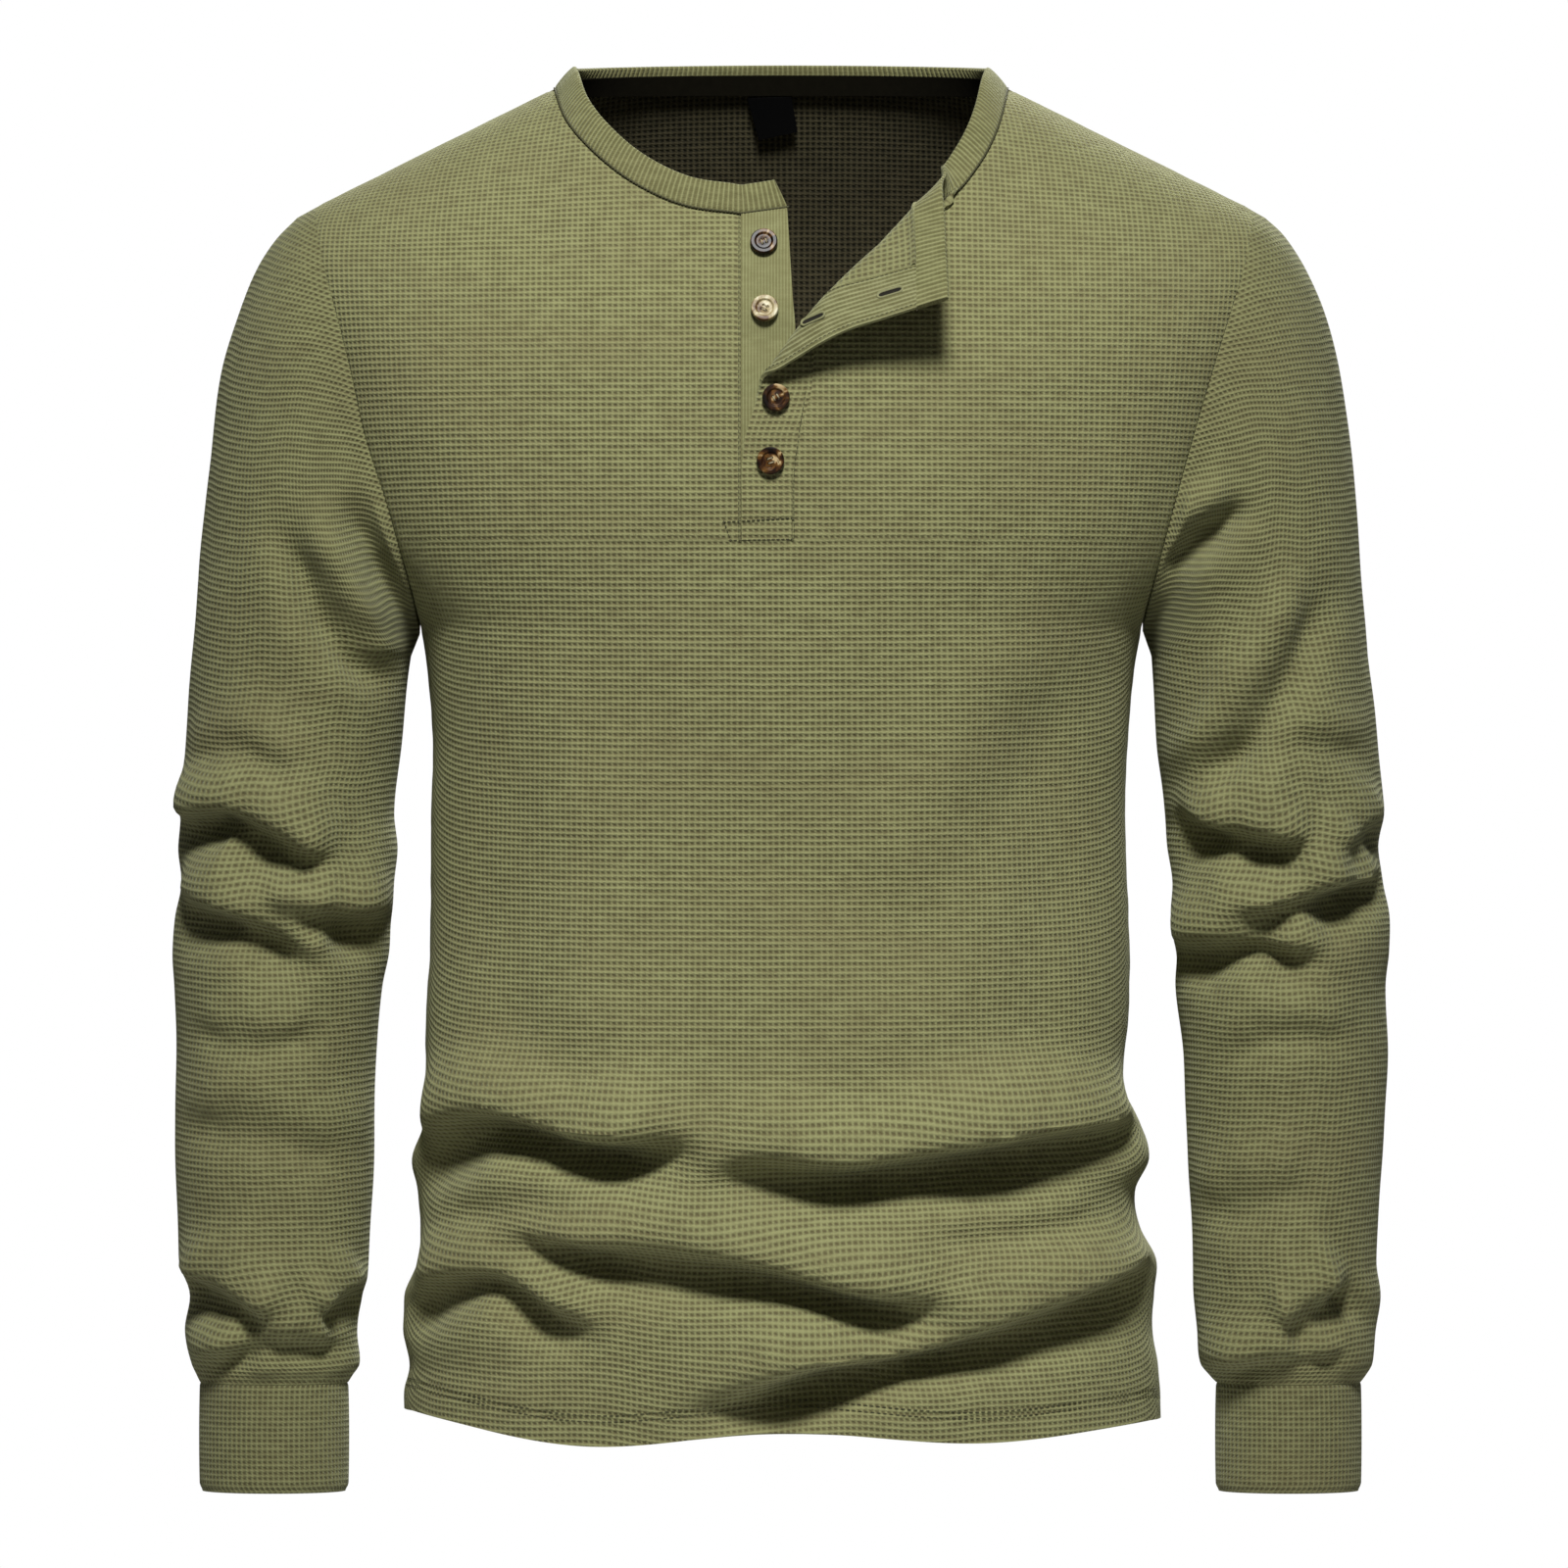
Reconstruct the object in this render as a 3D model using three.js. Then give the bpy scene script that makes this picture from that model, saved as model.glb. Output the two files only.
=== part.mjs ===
// Henley shirt with long sleeves, filled out as worn with nobody in it.
// Millimetres, +Z up, front towards -Y. The origin is midway between the tops of the
// shoulders at the neck, where the wearer holds the shirt up. Left and right are as seen
// from the front. Every cloth piece is a wall whose outer face is worked out below.
import * as THREE from 'three';

const BODY_CLOTH = 2.0;
const PLACKET_CLOTH = 2.2;
const BAND_CLOTH = 2.4;
const CUFF_CLOTH = 2.6;
const TAPE_CLOTH = 1.0;
const SEAM_GAP = 0.34;
const LAY_GAP = 0.5;

const NECK_SIDE = 109.5;
const NECK_SIDE_HEIGHT = 0.5;
const SHOULDER_SLOPE = 0.497;
const NECK_RISE = 44;
const SHOULDER_ROUND_FROM = -150;
const ARMPIT_HEIGHT = -262;
const ARM_FORWARD = 62;
const CHEST_SQUARE = 2.4;

const SLOT_LEFT = -19.3;
const SLOT_RIGHT = 5.3;
const SLOT_BOTTOM = -221.3;
const PLACKET_WIDE = 24;
const BAND_WIDE = 15;
const FLAP_BAND_WIDE = 14;
const CUFF_TALL = 52.5;
const BUTTON_ACROSS = 13.2;
const BUTTON_THICK = 2.8;

const CLOTH_COLOUR = 0x6f7346;
const BAND_COLOUR = 0x72764a;
const TAPE_COLOUR = 0x2b2a1c;
const LABEL_COLOUR = 0x0d0d0d;
const BUTTON_COLOUR = 0x6a4a2c;

// Half widths of the body at the side seams, and above the armpit at the armhole seams.
const sides = [
  { z: -640, left: 182.5, right: 184 }, { z: -618, left: 180, right: 182.5 },
  { z: -601, left: 183.5, right: 180 }, { z: -584, left: 182.5, right: 181 },
  { z: -568, left: 175, right: 182 }, { z: -551, left: 174.5, right: 173.5 },
  { z: -534, left: 176.5, right: 171.5 }, { z: -518, left: 179.5, right: 178.5 },
  { z: -501, left: 172, right: 174 }, { z: -484, left: 171.5, right: 165.5 },
  { z: -451, left: 172, right: 168 }, { z: -418, left: 170, right: 168.5 },
  { z: -351, left: 169.5, right: 166.5 }, { z: -318, left: 168.5, right: 167.5 },
  { z: -285, left: 171, right: 170.5 }, { z: -262, left: 174.5, right: 174.5 },
  { z: -242, left: 179, right: 178.5 }, { z: -204, left: 188.6, right: 188 },
  { z: -168, left: 200, right: 198 }, { z: -143, left: 206, right: 206 },
  { z: -114, left: 213.5, right: 215 }, { z: -84, left: 221, right: 224 },
  { z: -66, left: 224.5, right: 227.5 }, { z: -57, left: 225, right: 228 },
];

// How far the chest and the back stand out from the side seams.
const depths = [
  { z: -650, front: 106, back: 100 }, { z: -600, front: 108, back: 102 },
  { z: -520, front: 110, back: 104 }, { z: -450, front: 107, back: 98 },
  { z: -380, front: 105, back: 94 }, { z: -320, front: 109, back: 100 },
  { z: -262, front: 115, back: 108 }, { z: -200, front: 119, back: 115 },
  { z: -150, front: 116, back: 116 }, { z: -110, front: 110, back: 112 },
  { z: -62, front: 99, back: 102 }, { z: -20, front: 92, back: 92 },
  { z: 10, front: 88, back: 86 },
];

const frontHem = [
  { x: -178, z: -639 }, { x: -94, z: -653 }, { x: 0, z: -646 },
  { x: 96, z: -651.5 }, { x: 178, z: -643.5 },
];
const backHem = [{ x: -178, z: -639 }, { x: 0, z: -641 }, { x: 178, z: -643.5 }];

// Folds as seen from the front: the trough's path from left to right, its width and
// depth, and how far the ridge above hangs over it.
const frontFolds = [
  { wide: 7, deep: 9, hang: 6, path: [[-200, -538], [-174, -524], [-142, -507], [-92, -517], [-28, -520]] },
  { wide: 8, deep: 10, hang: 7,
    path: [[-48, -549], [-19, -530], [30, -529], [78, -522], [146, -512], [200, -508]] },
  { wide: 7, deep: 8, hang: 5, path: [[-150, -556], [-79, -563], [-19, -570], [30, -582], [110, -597]] },
  { wide: 6, deep: 7, hang: 4,
    path: [[-205, -612], [-167, -588], [-138, -582], [-111, -597], [-80, -614]] },
  { wide: 7, deep: 9, hang: 6,
    path: [[205, -566], [126, -599], [54, -619], [18, -624], [-19, -638], [-60, -650]] },
];
const backFolds = [
  { wide: 8, deep: 8, hang: 5, path: [[-200, -520], [-120, -508], [-40, -518], [30, -524]] },
  { wide: 8, deep: 9, hang: 6, path: [[-60, -556], [10, -546], [90, -538], [200, -512]] },
  { wide: 7, deep: 8, hang: 5, path: [[-205, -592], [-120, -574], [-30, -582], [60, -598]] },
  { wide: 9, deep: 5, hang: 2, path: [[-110, -420], [-20, -432], [90, -418]] },
  { wide: 7, deep: 7, hang: 4, path: [[10, -622], [90, -604], [200, -584]] },
];

// Sleeve sections from the shoulder round the armpit: the outer and the inner end of
// each ring (distance out, height) and its half depth.
const sleeveFan = [
  { outX: 234.5, outZ: -62.5, inX: 174.7, inZ: -263.3, deep: 62 },
  { outX: 245, outZ: -73, inX: 175.0, inZ: -264.7, deep: 62 },
  { outX: 255.5, outZ: -90, inX: 175.4, inZ: -266.2, deep: 62 },
  { outX: 264.5, outZ: -113, inX: 175.9, inZ: -267.8, deep: 61.5 },
  { outX: 272, outZ: -143, inX: 176.5, inZ: -269.5, deep: 61 },
  { outX: 277.5, outZ: -185, inX: 177.2, inZ: -271.3, deep: 60 },
  { outX: 282, outZ: -232, inX: 177.9, inZ: -273.2, deep: 59 },
];

// Sleeve sections below the armpit, all level.
const sleeveSizes = [
  { z: -626, leftOut: 281, leftIn: 209, rightOut: 280.3, rightIn: 210, deep: 32, mid: -14 },
  { z: -623, leftOut: 282, leftIn: 207.5, rightOut: 281.5, rightIn: 208, deep: 34, mid: -14 },
  { z: -617, leftOut: 285, leftIn: 203, rightOut: 285.5, rightIn: 202.5, deep: 41, mid: -14 },
  { z: -601, leftOut: 288, leftIn: 204, rightOut: 287, rightIn: 201, deep: 43, mid: -13 },
  { z: -584, leftOut: 286, leftIn: 201, rightOut: 289.5, rightIn: 199, deep: 44, mid: -13 },
  { z: -568, leftOut: 290.5, leftIn: 199, rightOut: 288, rightIn: 198.5, deep: 45, mid: -12 },
  { z: -518, leftOut: 293, leftIn: 197, rightOut: 291, rightIn: 196, deep: 48, mid: -10 },
  { z: -468, leftOut: 293, leftIn: 195, rightOut: 293, rightIn: 194, deep: 51, mid: -8 },
  { z: -435, leftOut: 294, leftIn: 192.5, rightOut: 292.5, rightIn: 190, deep: 53, mid: -7 },
  { z: -418, leftOut: 295, leftIn: 189, rightOut: 294.5, rightIn: 190, deep: 54, mid: -6 },
  { z: -401, leftOut: 294, leftIn: 188, rightOut: 295, rightIn: 188.5, deep: 55, mid: -5 },
  { z: -385, leftOut: 290.5, leftIn: 187.5, rightOut: 292, rightIn: 189, deep: 55, mid: -4 },
  { z: -368, leftOut: 292.5, leftIn: 185, rightOut: 290, rightIn: 186, deep: 56, mid: -4 },
  { z: -351, leftOut: 291, leftIn: 186, rightOut: 292, rightIn: 185.5, deep: 56, mid: -3 },
  { z: -318, leftOut: 289, leftIn: 183, rightOut: 289, rightIn: 182, deep: 57, mid: -2 },
  { z: -275, leftOut: 286.5, leftIn: 178.6, rightOut: 284, rightIn: 178.6, deep: 58, mid: 0 },
];
const sleeveRows = [-275, -296, -316, -334, -348, -358, -368, -378, -388, -398, -408, -418,
  -430, -446, -468, -492, -514, -538, -560, -576, -588, -599, -609, -617, -623, -626];

const leftSleeveFolds = [
  { wide: 9, deep: 5, hang: 1, path: [[-243, -204], [-208, -274], [-182, -293]] },
  { wide: 8, deep: 3, hang: 0, path: [[-208, -195], [-181, -258]] },
  { wide: 8, deep: 7, hang: 2.5,
    path: [[-300, -370], [-270, -357], [-255, -363], [-233, -376], [-214, -386]] },
  { wide: 8, deep: 6, hang: 2.5, path: [[-256, -398], [-225, -405], [-185, -413]] },
  { wide: 8, deep: 6, hang: 2.5, path: [[-300, -400], [-263, -408], [-240, -419], [-218, -434]] },
  { wide: 9, deep: 3, hang: 1, path: [[-300, -500], [-242, -507], [-200, -524]] },
  { wide: 8, deep: 5, hang: 2.5, path: [[-300, -570], [-259, -588], [-238, -598]] },
  { wide: 8, deep: 4, hang: 2, path: [[-226, -594], [-218, -590], [-195, -577]] },
  { wide: 8, deep: 4, hang: 2, path: [[-290, -622], [-259, -608], [-242, -605], [-200, -609]] },
];
const rightSleeveFolds = [
  { wide: 8, deep: 5, hang: 1, path: [[178, -238], [228, -198]] },
  { wide: 10, deep: 4, hang: 1, path: [[190, -350], [236, -298], [266, -233]] },
  { wide: 8, deep: 7, hang: 2.5, path: [[184, -357], [228, -369], [258, -373]] },
  { wide: 8, deep: 6, hang: 2.5, path: [[262, -377], [276, -370], [300, -355]] },
  { wide: 8, deep: 7, hang: 2.5, path: [[208, -411], [258, -396], [300, -386]] },
  { wide: 8, deep: 6, hang: 2.5, path: [[182, -426], [221, -419], [266, -428]] },
  { wide: 9, deep: 3, hang: 1, path: [[196, -546], [232, -537], [262, -529]] },
  { wide: 8, deep: 5, hang: 2, path: [[236, -601], [250, -594], [280, -574]] },
  { wide: 8, deep: 4, hang: 2, path: [[198, -623], [232, -615], [280, -612]] },
];
// Hidden sides of the sleeves, given for the left one and mirrored for the right one.
const sleeveBackFolds = [
  { wide: 8, deep: 6, hang: 2.5, path: [[-300, -360], [-250, -368], [-180, -358]] },
  { wide: 8, deep: 6, hang: 2.5, path: [[-270, -396], [-230, -404], [-180, -398]] },
  { wide: 8, deep: 5, hang: 2.5, path: [[-300, -424], [-262, -432], [-215, -424]] },
  { wide: 10, deep: 4, hang: 1, path: [[-280, -206], [-240, -258], [-200, -300]] },
  { wide: 8, deep: 4, hang: 2, path: [[-290, -590], [-250, -598], [-206, -588]] },
];

// The front neckline at the band's seam, and the back one's height at its middle.
const leftNeckline = [[-103, -17], [-88.8, -34], [-69.8, -49], [-46, -60]];
const rightNeckline = [[84.5, -53], [89.3, -47], [97.9, -34], [104.5, -19]];
const BACK_NECK_HEIGHT = 2;
const SLOT_TOP_LEFT = [SLOT_LEFT, -64];
const BAND_END = [2.8, -61];

const clamp = (value, low, high) => Math.min(high, Math.max(low, value));
const mix = (a, b, t) => a + (b - a) * t;
const ease = (t) => { const c = clamp(t, 0, 1); return c * c * (3 - 2 * c); };

// One column of a table at a place between its rows, as a smooth curve.
function read(table, key, at, column) {
  const end = table.length - 1;
  if (at <= table[0][key]) return table[0][column];
  if (at >= table[end][key]) return table[end][column];
  let row = 0;
  while (table[row + 1][key] < at) row += 1;
  const slope = (k) => {
    const below = table[Math.max(k - 1, 0)], above = table[Math.min(k + 1, end)];
    return (above[column] - below[column]) / (above[key] - below[key]);
  };
  const a = table[row], b = table[row + 1], run = b[key] - a[key], t = (at - a[key]) / run;
  return a[column] * (1 + 2 * t) * (1 - t) ** 2 + slope(row) * run * t * (1 - t) ** 2
    + b[column] * t * t * (3 - 2 * t) + slope(row + 1) * run * t * t * (t - 1);
}

// Distance above a fold's path and the place along it from 0 to 1.
function besidePath(path, x, z) {
  let total = 0, best = { far: Infinity, above: 0, along: 0 };
  for (let i = 0; i + 1 < path.length; i += 1) {
    const [ax, az] = path[i], [bx, bz] = path[i + 1];
    const dx = bx - ax, dz = bz - az, run = Math.hypot(dx, dz);
    const t = clamp(((x - ax) * dx + (z - az) * dz) / (run * run), 0, 1);
    const far = Math.hypot(x - ax - dx * t, z - az - dz * t);
    if (far < best.far) {
      const turn = Math.sign(dx * (z - az) - dz * (x - ax)) * Math.sign(path.at(-1)[0] - path[0][0]);
      best = { far, above: far * turn, along: total + run * t };
    }
    total += run;
  }
  return { above: best.above, along: best.along / total };
}

function foldRelief(folds, x, z) {
  let out = 0, down = 0;
  for (const fold of folds) {
    const { above, along } = besidePath(fold.path, x, z);
    if (Math.abs(above) > fold.wide * 4) continue;
    const full = ease(along / 0.2) * ease((1 - along) / 0.2);
    const bump = (centre, wide) => Math.exp(-(((above / fold.wide - centre) / wide) ** 2));
    out += full * fold.deep * (0.8 * bump(1.6, 1.1) + 0.3 * bump(-1.7, 1.2) - bump(0, 1));
    down += full * fold.hang * bump(1.1, 1);
  }
  return { out, down };
}

// Front folds on the front, back ones on the back, both fading out at the sides, where
// the tables of sizes already hold them.
function reliefAt(front, back, x, z, facing) {
  const toFront = ease(0.5 - facing), edge = mix(0.15, 1, ease(Math.abs(facing) / 0.5));
  const f = toFront > 0 ? foldRelief(front, x, z) : { out: 0, down: 0 };
  const b = toFront < 1 ? foldRelief(back, x, z) : { out: 0, down: 0 };
  return {
    out: edge * mix(b.out, f.out, toFront),
    down: edge * mix(b.down, f.down, toFront),
  };
}

// Height of the shoulder seam, and inside the neck of the round top that carries it on.
function shoulderHeight(x) {
  const out = Math.abs(x);
  if (out >= NECK_SIDE) return NECK_SIDE_HEIGHT - (out - NECK_SIDE) * SHOULDER_SLOPE;
  return NECK_SIDE_HEIGHT + NECK_RISE * (1 - (out / NECK_SIDE) ** 2);
}
const sideAt = (x, z) => read(sides, 'z', z, x < 0 ? 'left' : 'right');

// A place on the outer face of the body: side is -1 in front and 1 behind.
function bodyPoint(side, x, z) {
  const depth = read(depths, 'z', z, side < 0 ? 'front' : 'back');
  const rise = clamp((z - ARMPIT_HEIGHT) / ARM_FORWARD, 0, 1);
  const forward = ARM_FORWARD * Math.sqrt(1 - (1 - rise) ** 2) * (z > ARMPIT_HEIGHT ? 1 : 0);
  const half = sideAt(x, z) / (1 - (forward / depth) ** CHEST_SQUARE) ** (1 / CHEST_SQUARE);
  const over = clamp((z - SHOULDER_ROUND_FROM) / (shoulderHeight(x) - SHOULDER_ROUND_FROM), 0, 1);
  const cap = over > 0.999999 ? 0 : Math.sqrt(1 - over * over);
  const across = Math.min(1, Math.abs(x) / half);
  const stand = (1 - across ** CHEST_SQUARE) ** (1 / CHEST_SQUARE);
  const turn = new THREE.Vector2(Math.sign(x) * across ** (CHEST_SQUARE - 1) / half,
    side * stand ** (CHEST_SQUARE - 1) / depth).normalize();
  const { out, down } = reliefAt(frontFolds, backFolds, x, z, turn.y);
  return new THREE.Vector3(x + turn.x * out, side * depth * stand * cap + turn.y * out, z - down);
}

// The turned-out corner. It starts along a straight fold line from FOLD_BASE; a place on
// it is the distance along that line and the distance of cloth across it.
const FOLD_BASE = [-12.4, -146.3];
const FOLD_ALONG = [0.674, 0.739];
const FOLD_ACROSS = [-0.739, 0.674];
const FOLD_ANGLE = 2.75;
const FOLD_OPENS_AT = 112;
const FOLD_ENDS_AT = 150;
const FLAP_EDGE_START = [0.5, 2];
const FLAP_EDGE_WAY = [0.763, 0.647];
const FLAP_IN_WAY = [0.647, -0.763];
const FLAP_EDGE_LONG = 90;
const SEAM_MEETS_FOLD = (-FLAP_EDGE_START[1] - PLACKET_WIDE * FLAP_IN_WAY[1]) / FLAP_EDGE_WAY[1];
const BAND_MEETS_FOLD = 126;

const rollRadius = (a) => mix(3, 8, ease(a / 50));
const rollAngle = (a) => FOLD_ANGLE * (1 - ease((a - FOLD_OPENS_AT) / (FOLD_ENDS_AT - FOLD_OPENS_AT)));

function foldStart(a) {
  const bow = 2.5 * Math.sin(Math.PI * clamp((a - 10) / 75, 0, 1)) - rollRadius(a) - BODY_CLOTH;
  return [0, 1].map((k) => FOLD_BASE[k] + a * FOLD_ALONG[k] + bow * FOLD_ACROSS[k]);
}

function flapPoint(a, c) {
  const [x, z] = foldStart(a);
  if (c <= 0) return bodyPoint(-1, x + c * FOLD_ACROSS[0], z + c * FOLD_ACROSS[1]);
  const start = bodyPoint(-1, x, z);
  const across = bodyPoint(-1, x + FOLD_ACROSS[0], z + FOLD_ACROSS[1]).sub(start).normalize();
  const along = bodyPoint(-1, x + FOLD_ALONG[0], z + FOLD_ALONG[1]).sub(start).normalize();
  const away = new THREE.Vector3().crossVectors(along, across).normalize().negate();
  if (away.y > 0) away.negate();
  const radius = rollRadius(a), full = rollAngle(a), turned = Math.min(c / radius, full);
  const rest = Math.max(0, c - radius * full);
  return start.addScaledVector(across, radius * Math.sin(turned) + rest * Math.cos(full))
    .addScaledVector(away, radius * (1 - Math.cos(turned)) + rest * Math.sin(full));
}

const placketPlace = (along, across) => [0, 1].map((k) => FLAP_EDGE_START[k]
  + along * FLAP_EDGE_WAY[k] + across * FLAP_IN_WAY[k]);
const [cornerAlong, cornerAcross] = placketPlace(FLAP_EDGE_LONG, PLACKET_WIDE);
const flapBandSeam = [
  { a: BAND_MEETS_FOLD, c: 0 }, { a: 117, c: 9 }, { a: 107, c: 19 }, { a: 96, c: 30 },
  { a: cornerAlong, c: cornerAcross },
];

// An open surface of points and triangles; its wall is made from it further down.
class Piece {
  constructor(cloth, flip = false) {
    this.points = [];
    this.faces = [];
    this.cloth = cloth;
    this.flip = flip;
  }
  add(point) { this.points.push(point.clone()); return this.points.length - 1; }
  triangle(a, b, c) {
    if (a === b || b === c || c === a) return;
    this.faces.push(this.flip ? [a, c, b] : [a, b, c]);
  }
  quad(a, b, c, d) {
    const p = this.points;
    if (p[a].distanceTo(p[c]) <= p[b].distanceTo(p[d])) {
      this.triangle(a, b, c); this.triangle(a, c, d);
    } else {
      this.triangle(a, b, d); this.triangle(b, c, d);
    }
  }
  // Rows run upwards; seen from outside each runs from left to right.
  sheet(rows, skip = () => false) {
    for (let r = 0; r + 1 < rows.length; r += 1) {
      for (let c = 0; c + 1 < rows[r].length; c += 1) {
        if (!skip(r, c)) this.quad(rows[r][c], rows[r][c + 1], rows[r + 1][c + 1], rows[r + 1][c]);
      }
    }
  }
}

// A place inside four edges in the front view; across and up run from 0 to 1.
function between(edges, across, up, column, row) {
  const { low, high, left, right } = edges;
  return [0, 1].map((k) => mix(low[column][k], high[column][k], up)
    + (1 - across) * (left[row][k] - mix(low[0][k], high[0][k], up))
    + across * (right[row][k] - mix(low.at(-1)[k], high.at(-1)[k], up)));
}

const lowerRows = [-640, -628, -617, -606, -595, -585, -575, -565, -555, -545, -535, -525, -515,
  -505, -494, -480, -460, -435, -405, -372, -340, -308, -282, ARMPIT_HEIGHT, -256, -243, SLOT_BOTTOM];
const ARMPIT_ROW = 23;
const upperRows = [0, 0.2, 0.4, 0.52, 0.635, 0.70, 0.77, 0.85, 0.93, 1];
const FOLD_ROW = 4;
const SHOULDER_STEPS = 5;

function hemShift(hem, x, z) {
  return (read(hem, 'x', x, 'z') + 640) * clamp(1 - (z + 640) / 45, 0, 1);
}

const armholeEdge = (sign) => upperRows.map((up) => {
  const end = sideAt(sign, 0), top = shoulderHeight(end);
  const z = mix(SLOT_BOTTOM, top, up);
  return [sign * (up < 1 ? sideAt(sign, z) : end), z];
});

const shoulderPoints = (sign) => {
  const end = sideAt(sign, 0);
  return Array.from({ length: SHOULDER_STEPS + 1 }, (_, i) => {
    const x = sign * mix(end, NECK_SIDE, i / SHOULDER_STEPS);
    return [x, shoulderHeight(x)];
  });
};

const HALF_STEPS = 10;
function columnShares() {
  const from = (share) => (2 / Math.PI) * Math.asin(share);
  const leftInner = from(-SLOT_LEFT / sideAt(-1, SLOT_BOTTOM));
  const rightInner = from(SLOT_RIGHT / sideAt(1, SLOT_BOTTOM));
  const shares = [];
  for (let j = 0; j <= HALF_STEPS; j += 1) {
    shares.push(-Math.sin((Math.PI / 2) * mix(1, leftInner, j / HALF_STEPS)));
  }
  shares.push(mix(SLOT_LEFT, SLOT_RIGHT, 0.5) / sideAt(-1, SLOT_BOTTOM));
  for (let j = 0; j <= HALF_STEPS; j += 1) {
    shares.push(Math.sin((Math.PI / 2) * mix(rightInner, 1, j / HALF_STEPS)));
  }
  return shares;
}

// Right edge of the opening below the fold, then the start of the fold itself.
const openingEdge = upperRows.map((up, row) => {
  if (row < 2) return [SLOT_RIGHT, mix(SLOT_BOTTOM, -186, up / 0.2)];
  if (row <= FOLD_ROW) {
    const [a, c] = placketPlace((SEAM_MEETS_FOLD * (row - 2)) / (FOLD_ROW - 2), PLACKET_WIDE);
    const start = foldStart(a);
    return start.map((value, k) => value + Math.min(0, c) * FOLD_ACROSS[k]);
  }
  const meet = placketPlace(SEAM_MEETS_FOLD, PLACKET_WIDE)[0];
  return foldStart(mix(meet, BAND_MEETS_FOLD, (up - upperRows[FOLD_ROW]) / (1 - upperRows[FOLD_ROW])));
});
const foldShares = upperRows.slice(FOLD_ROW)
  .map((up) => (up - upperRows[FOLD_ROW]) / (1 - upperRows[FOLD_ROW]));

function makeFront() {
  const front = new Piece(BODY_CLOTH);
  const shares = columnShares();
  const lower = lowerRows.map((level) => shares.map((share) => {
    const z = level + hemShift(frontHem, share * sideAt(share, level), level);
    return front.add(bodyPoint(-1, share * sideAt(share, z), z));
  }));
  front.sheet(lower);
  const flat = (list) => list.map((share) => [share * sideAt(share, SLOT_BOTTOM), SLOT_BOTTOM]);
  const block = (edges, low) => upperRows.map((up, row) => low.map((index, column) => {
    if (row === 0) return index;
    const [x, z] = between(edges, column / HALF_STEPS, up, column, row);
    return front.add(bodyPoint(-1, x, z));
  }));

  const leftHigh = [...shoulderPoints(-1), ...leftNeckline, SLOT_TOP_LEFT];
  const left = block({
    low: flat(shares.slice(0, HALF_STEPS + 1)), high: leftHigh, left: armholeEdge(-1),
    right: upperRows.map((up) => [SLOT_LEFT, mix(SLOT_BOTTOM, SLOT_TOP_LEFT[1], up)]),
  }, lower.at(-1).slice(0, HALF_STEPS + 1));
  front.sheet(left);

  const rightHigh = [openingEdge.at(-1), ...rightNeckline, ...shoulderPoints(1).reverse()];
  const right = block({
    low: flat(shares.slice(HALF_STEPS + 2)), high: rightHigh, left: openingEdge,
    right: armholeEdge(1),
  }, lower.at(-1).slice(HALF_STEPS + 2));
  front.sheet(right);

  const base = right.slice(FOLD_ROW).map((row) => row[0]);
  const meet = placketPlace(SEAM_MEETS_FOLD, PLACKET_WIDE);
  const corner = foldShares.map((share, i) => flapBandSeam.map((seam, j) => {
    if (j === 0) return base[i];
    if (i === 0) return base[0];
    return front.add(flapPoint(mix(meet[0], seam.a, share), mix(meet[1], seam.c, share)));
  }));
  for (let i = 0; i + 1 < corner.length; i += 1) {
    for (let j = 0; j + 1 < flapBandSeam.length; j += 1) {
      front.quad(corner[i][j + 1], corner[i][j], corner[i + 1][j], corner[i + 1][j + 1]);
    }
  }
  const at = (index) => front.points[index].clone();
  return {
    front,
    leftEdge: [...lower.slice(ARMPIT_ROW), ...left.slice(1)].map((row) => at(row[0])),
    rightEdge: [...lower.slice(ARMPIT_ROW), ...right.slice(1)].map((row) => at(row.at(-1))),
    leftNeck: left.at(-1).slice(SHOULDER_STEPS).map(at),
    rightNeck: right.at(-1).slice(0, SHOULDER_STEPS + 1).map(at),
    cornerNeck: corner.at(-1).map(at),
  };
}

const BACK_STEPS = 18;
function makeBack() {
  const back = new Piece(BODY_CLOTH, true);
  const shares = Array.from({ length: BACK_STEPS + 1 }, (_, j) => (
    Math.sin((Math.PI / 2) * mix(-1, 1, j / BACK_STEPS))));
  const lower = lowerRows.map((level) => shares.map((share) => {
    const z = level + hemShift(backHem, share * sideAt(share, level), level);
    return back.add(bodyPoint(1, share * sideAt(share, z), z));
  }));
  back.sheet(lower);
  const neckSteps = BACK_STEPS - 2 * SHOULDER_STEPS;
  const neck = Array.from({ length: neckSteps - 1 }, (_, i) => {
    const x = -NECK_SIDE * Math.cos(Math.PI * (i + 1) / neckSteps);
    return [x, mix(BACK_NECK_HEIGHT, NECK_SIDE_HEIGHT, (x / NECK_SIDE) ** 2)];
  });
  const edges = {
    low: shares.map((share) => [share * sideAt(share, SLOT_BOTTOM), SLOT_BOTTOM]),
    high: [...shoulderPoints(-1), ...neck, ...shoulderPoints(1).reverse()],
    left: armholeEdge(-1), right: armholeEdge(1),
  };
  const upper = upperRows.map((up, row) => lower.at(-1).map((index, column) => {
    if (row === 0) return index;
    const [x, z] = between(edges, column / BACK_STEPS, up, column, row);
    return back.add(bodyPoint(1, x, z));
  }));
  back.sheet(upper);
  const at = (index) => back.points[index].clone();
  return {
    back,
    leftEdge: [...lower.slice(ARMPIT_ROW), ...upper.slice(1)].map((row) => at(row[0])),
    rightEdge: [...lower.slice(ARMPIT_ROW), ...upper.slice(1)].map((row) => at(row.at(-1))),
    neck: upper.at(-1).slice(SHOULDER_STEPS, SHOULDER_STEPS + neckSteps + 1).map(at),
  };
}

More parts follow.
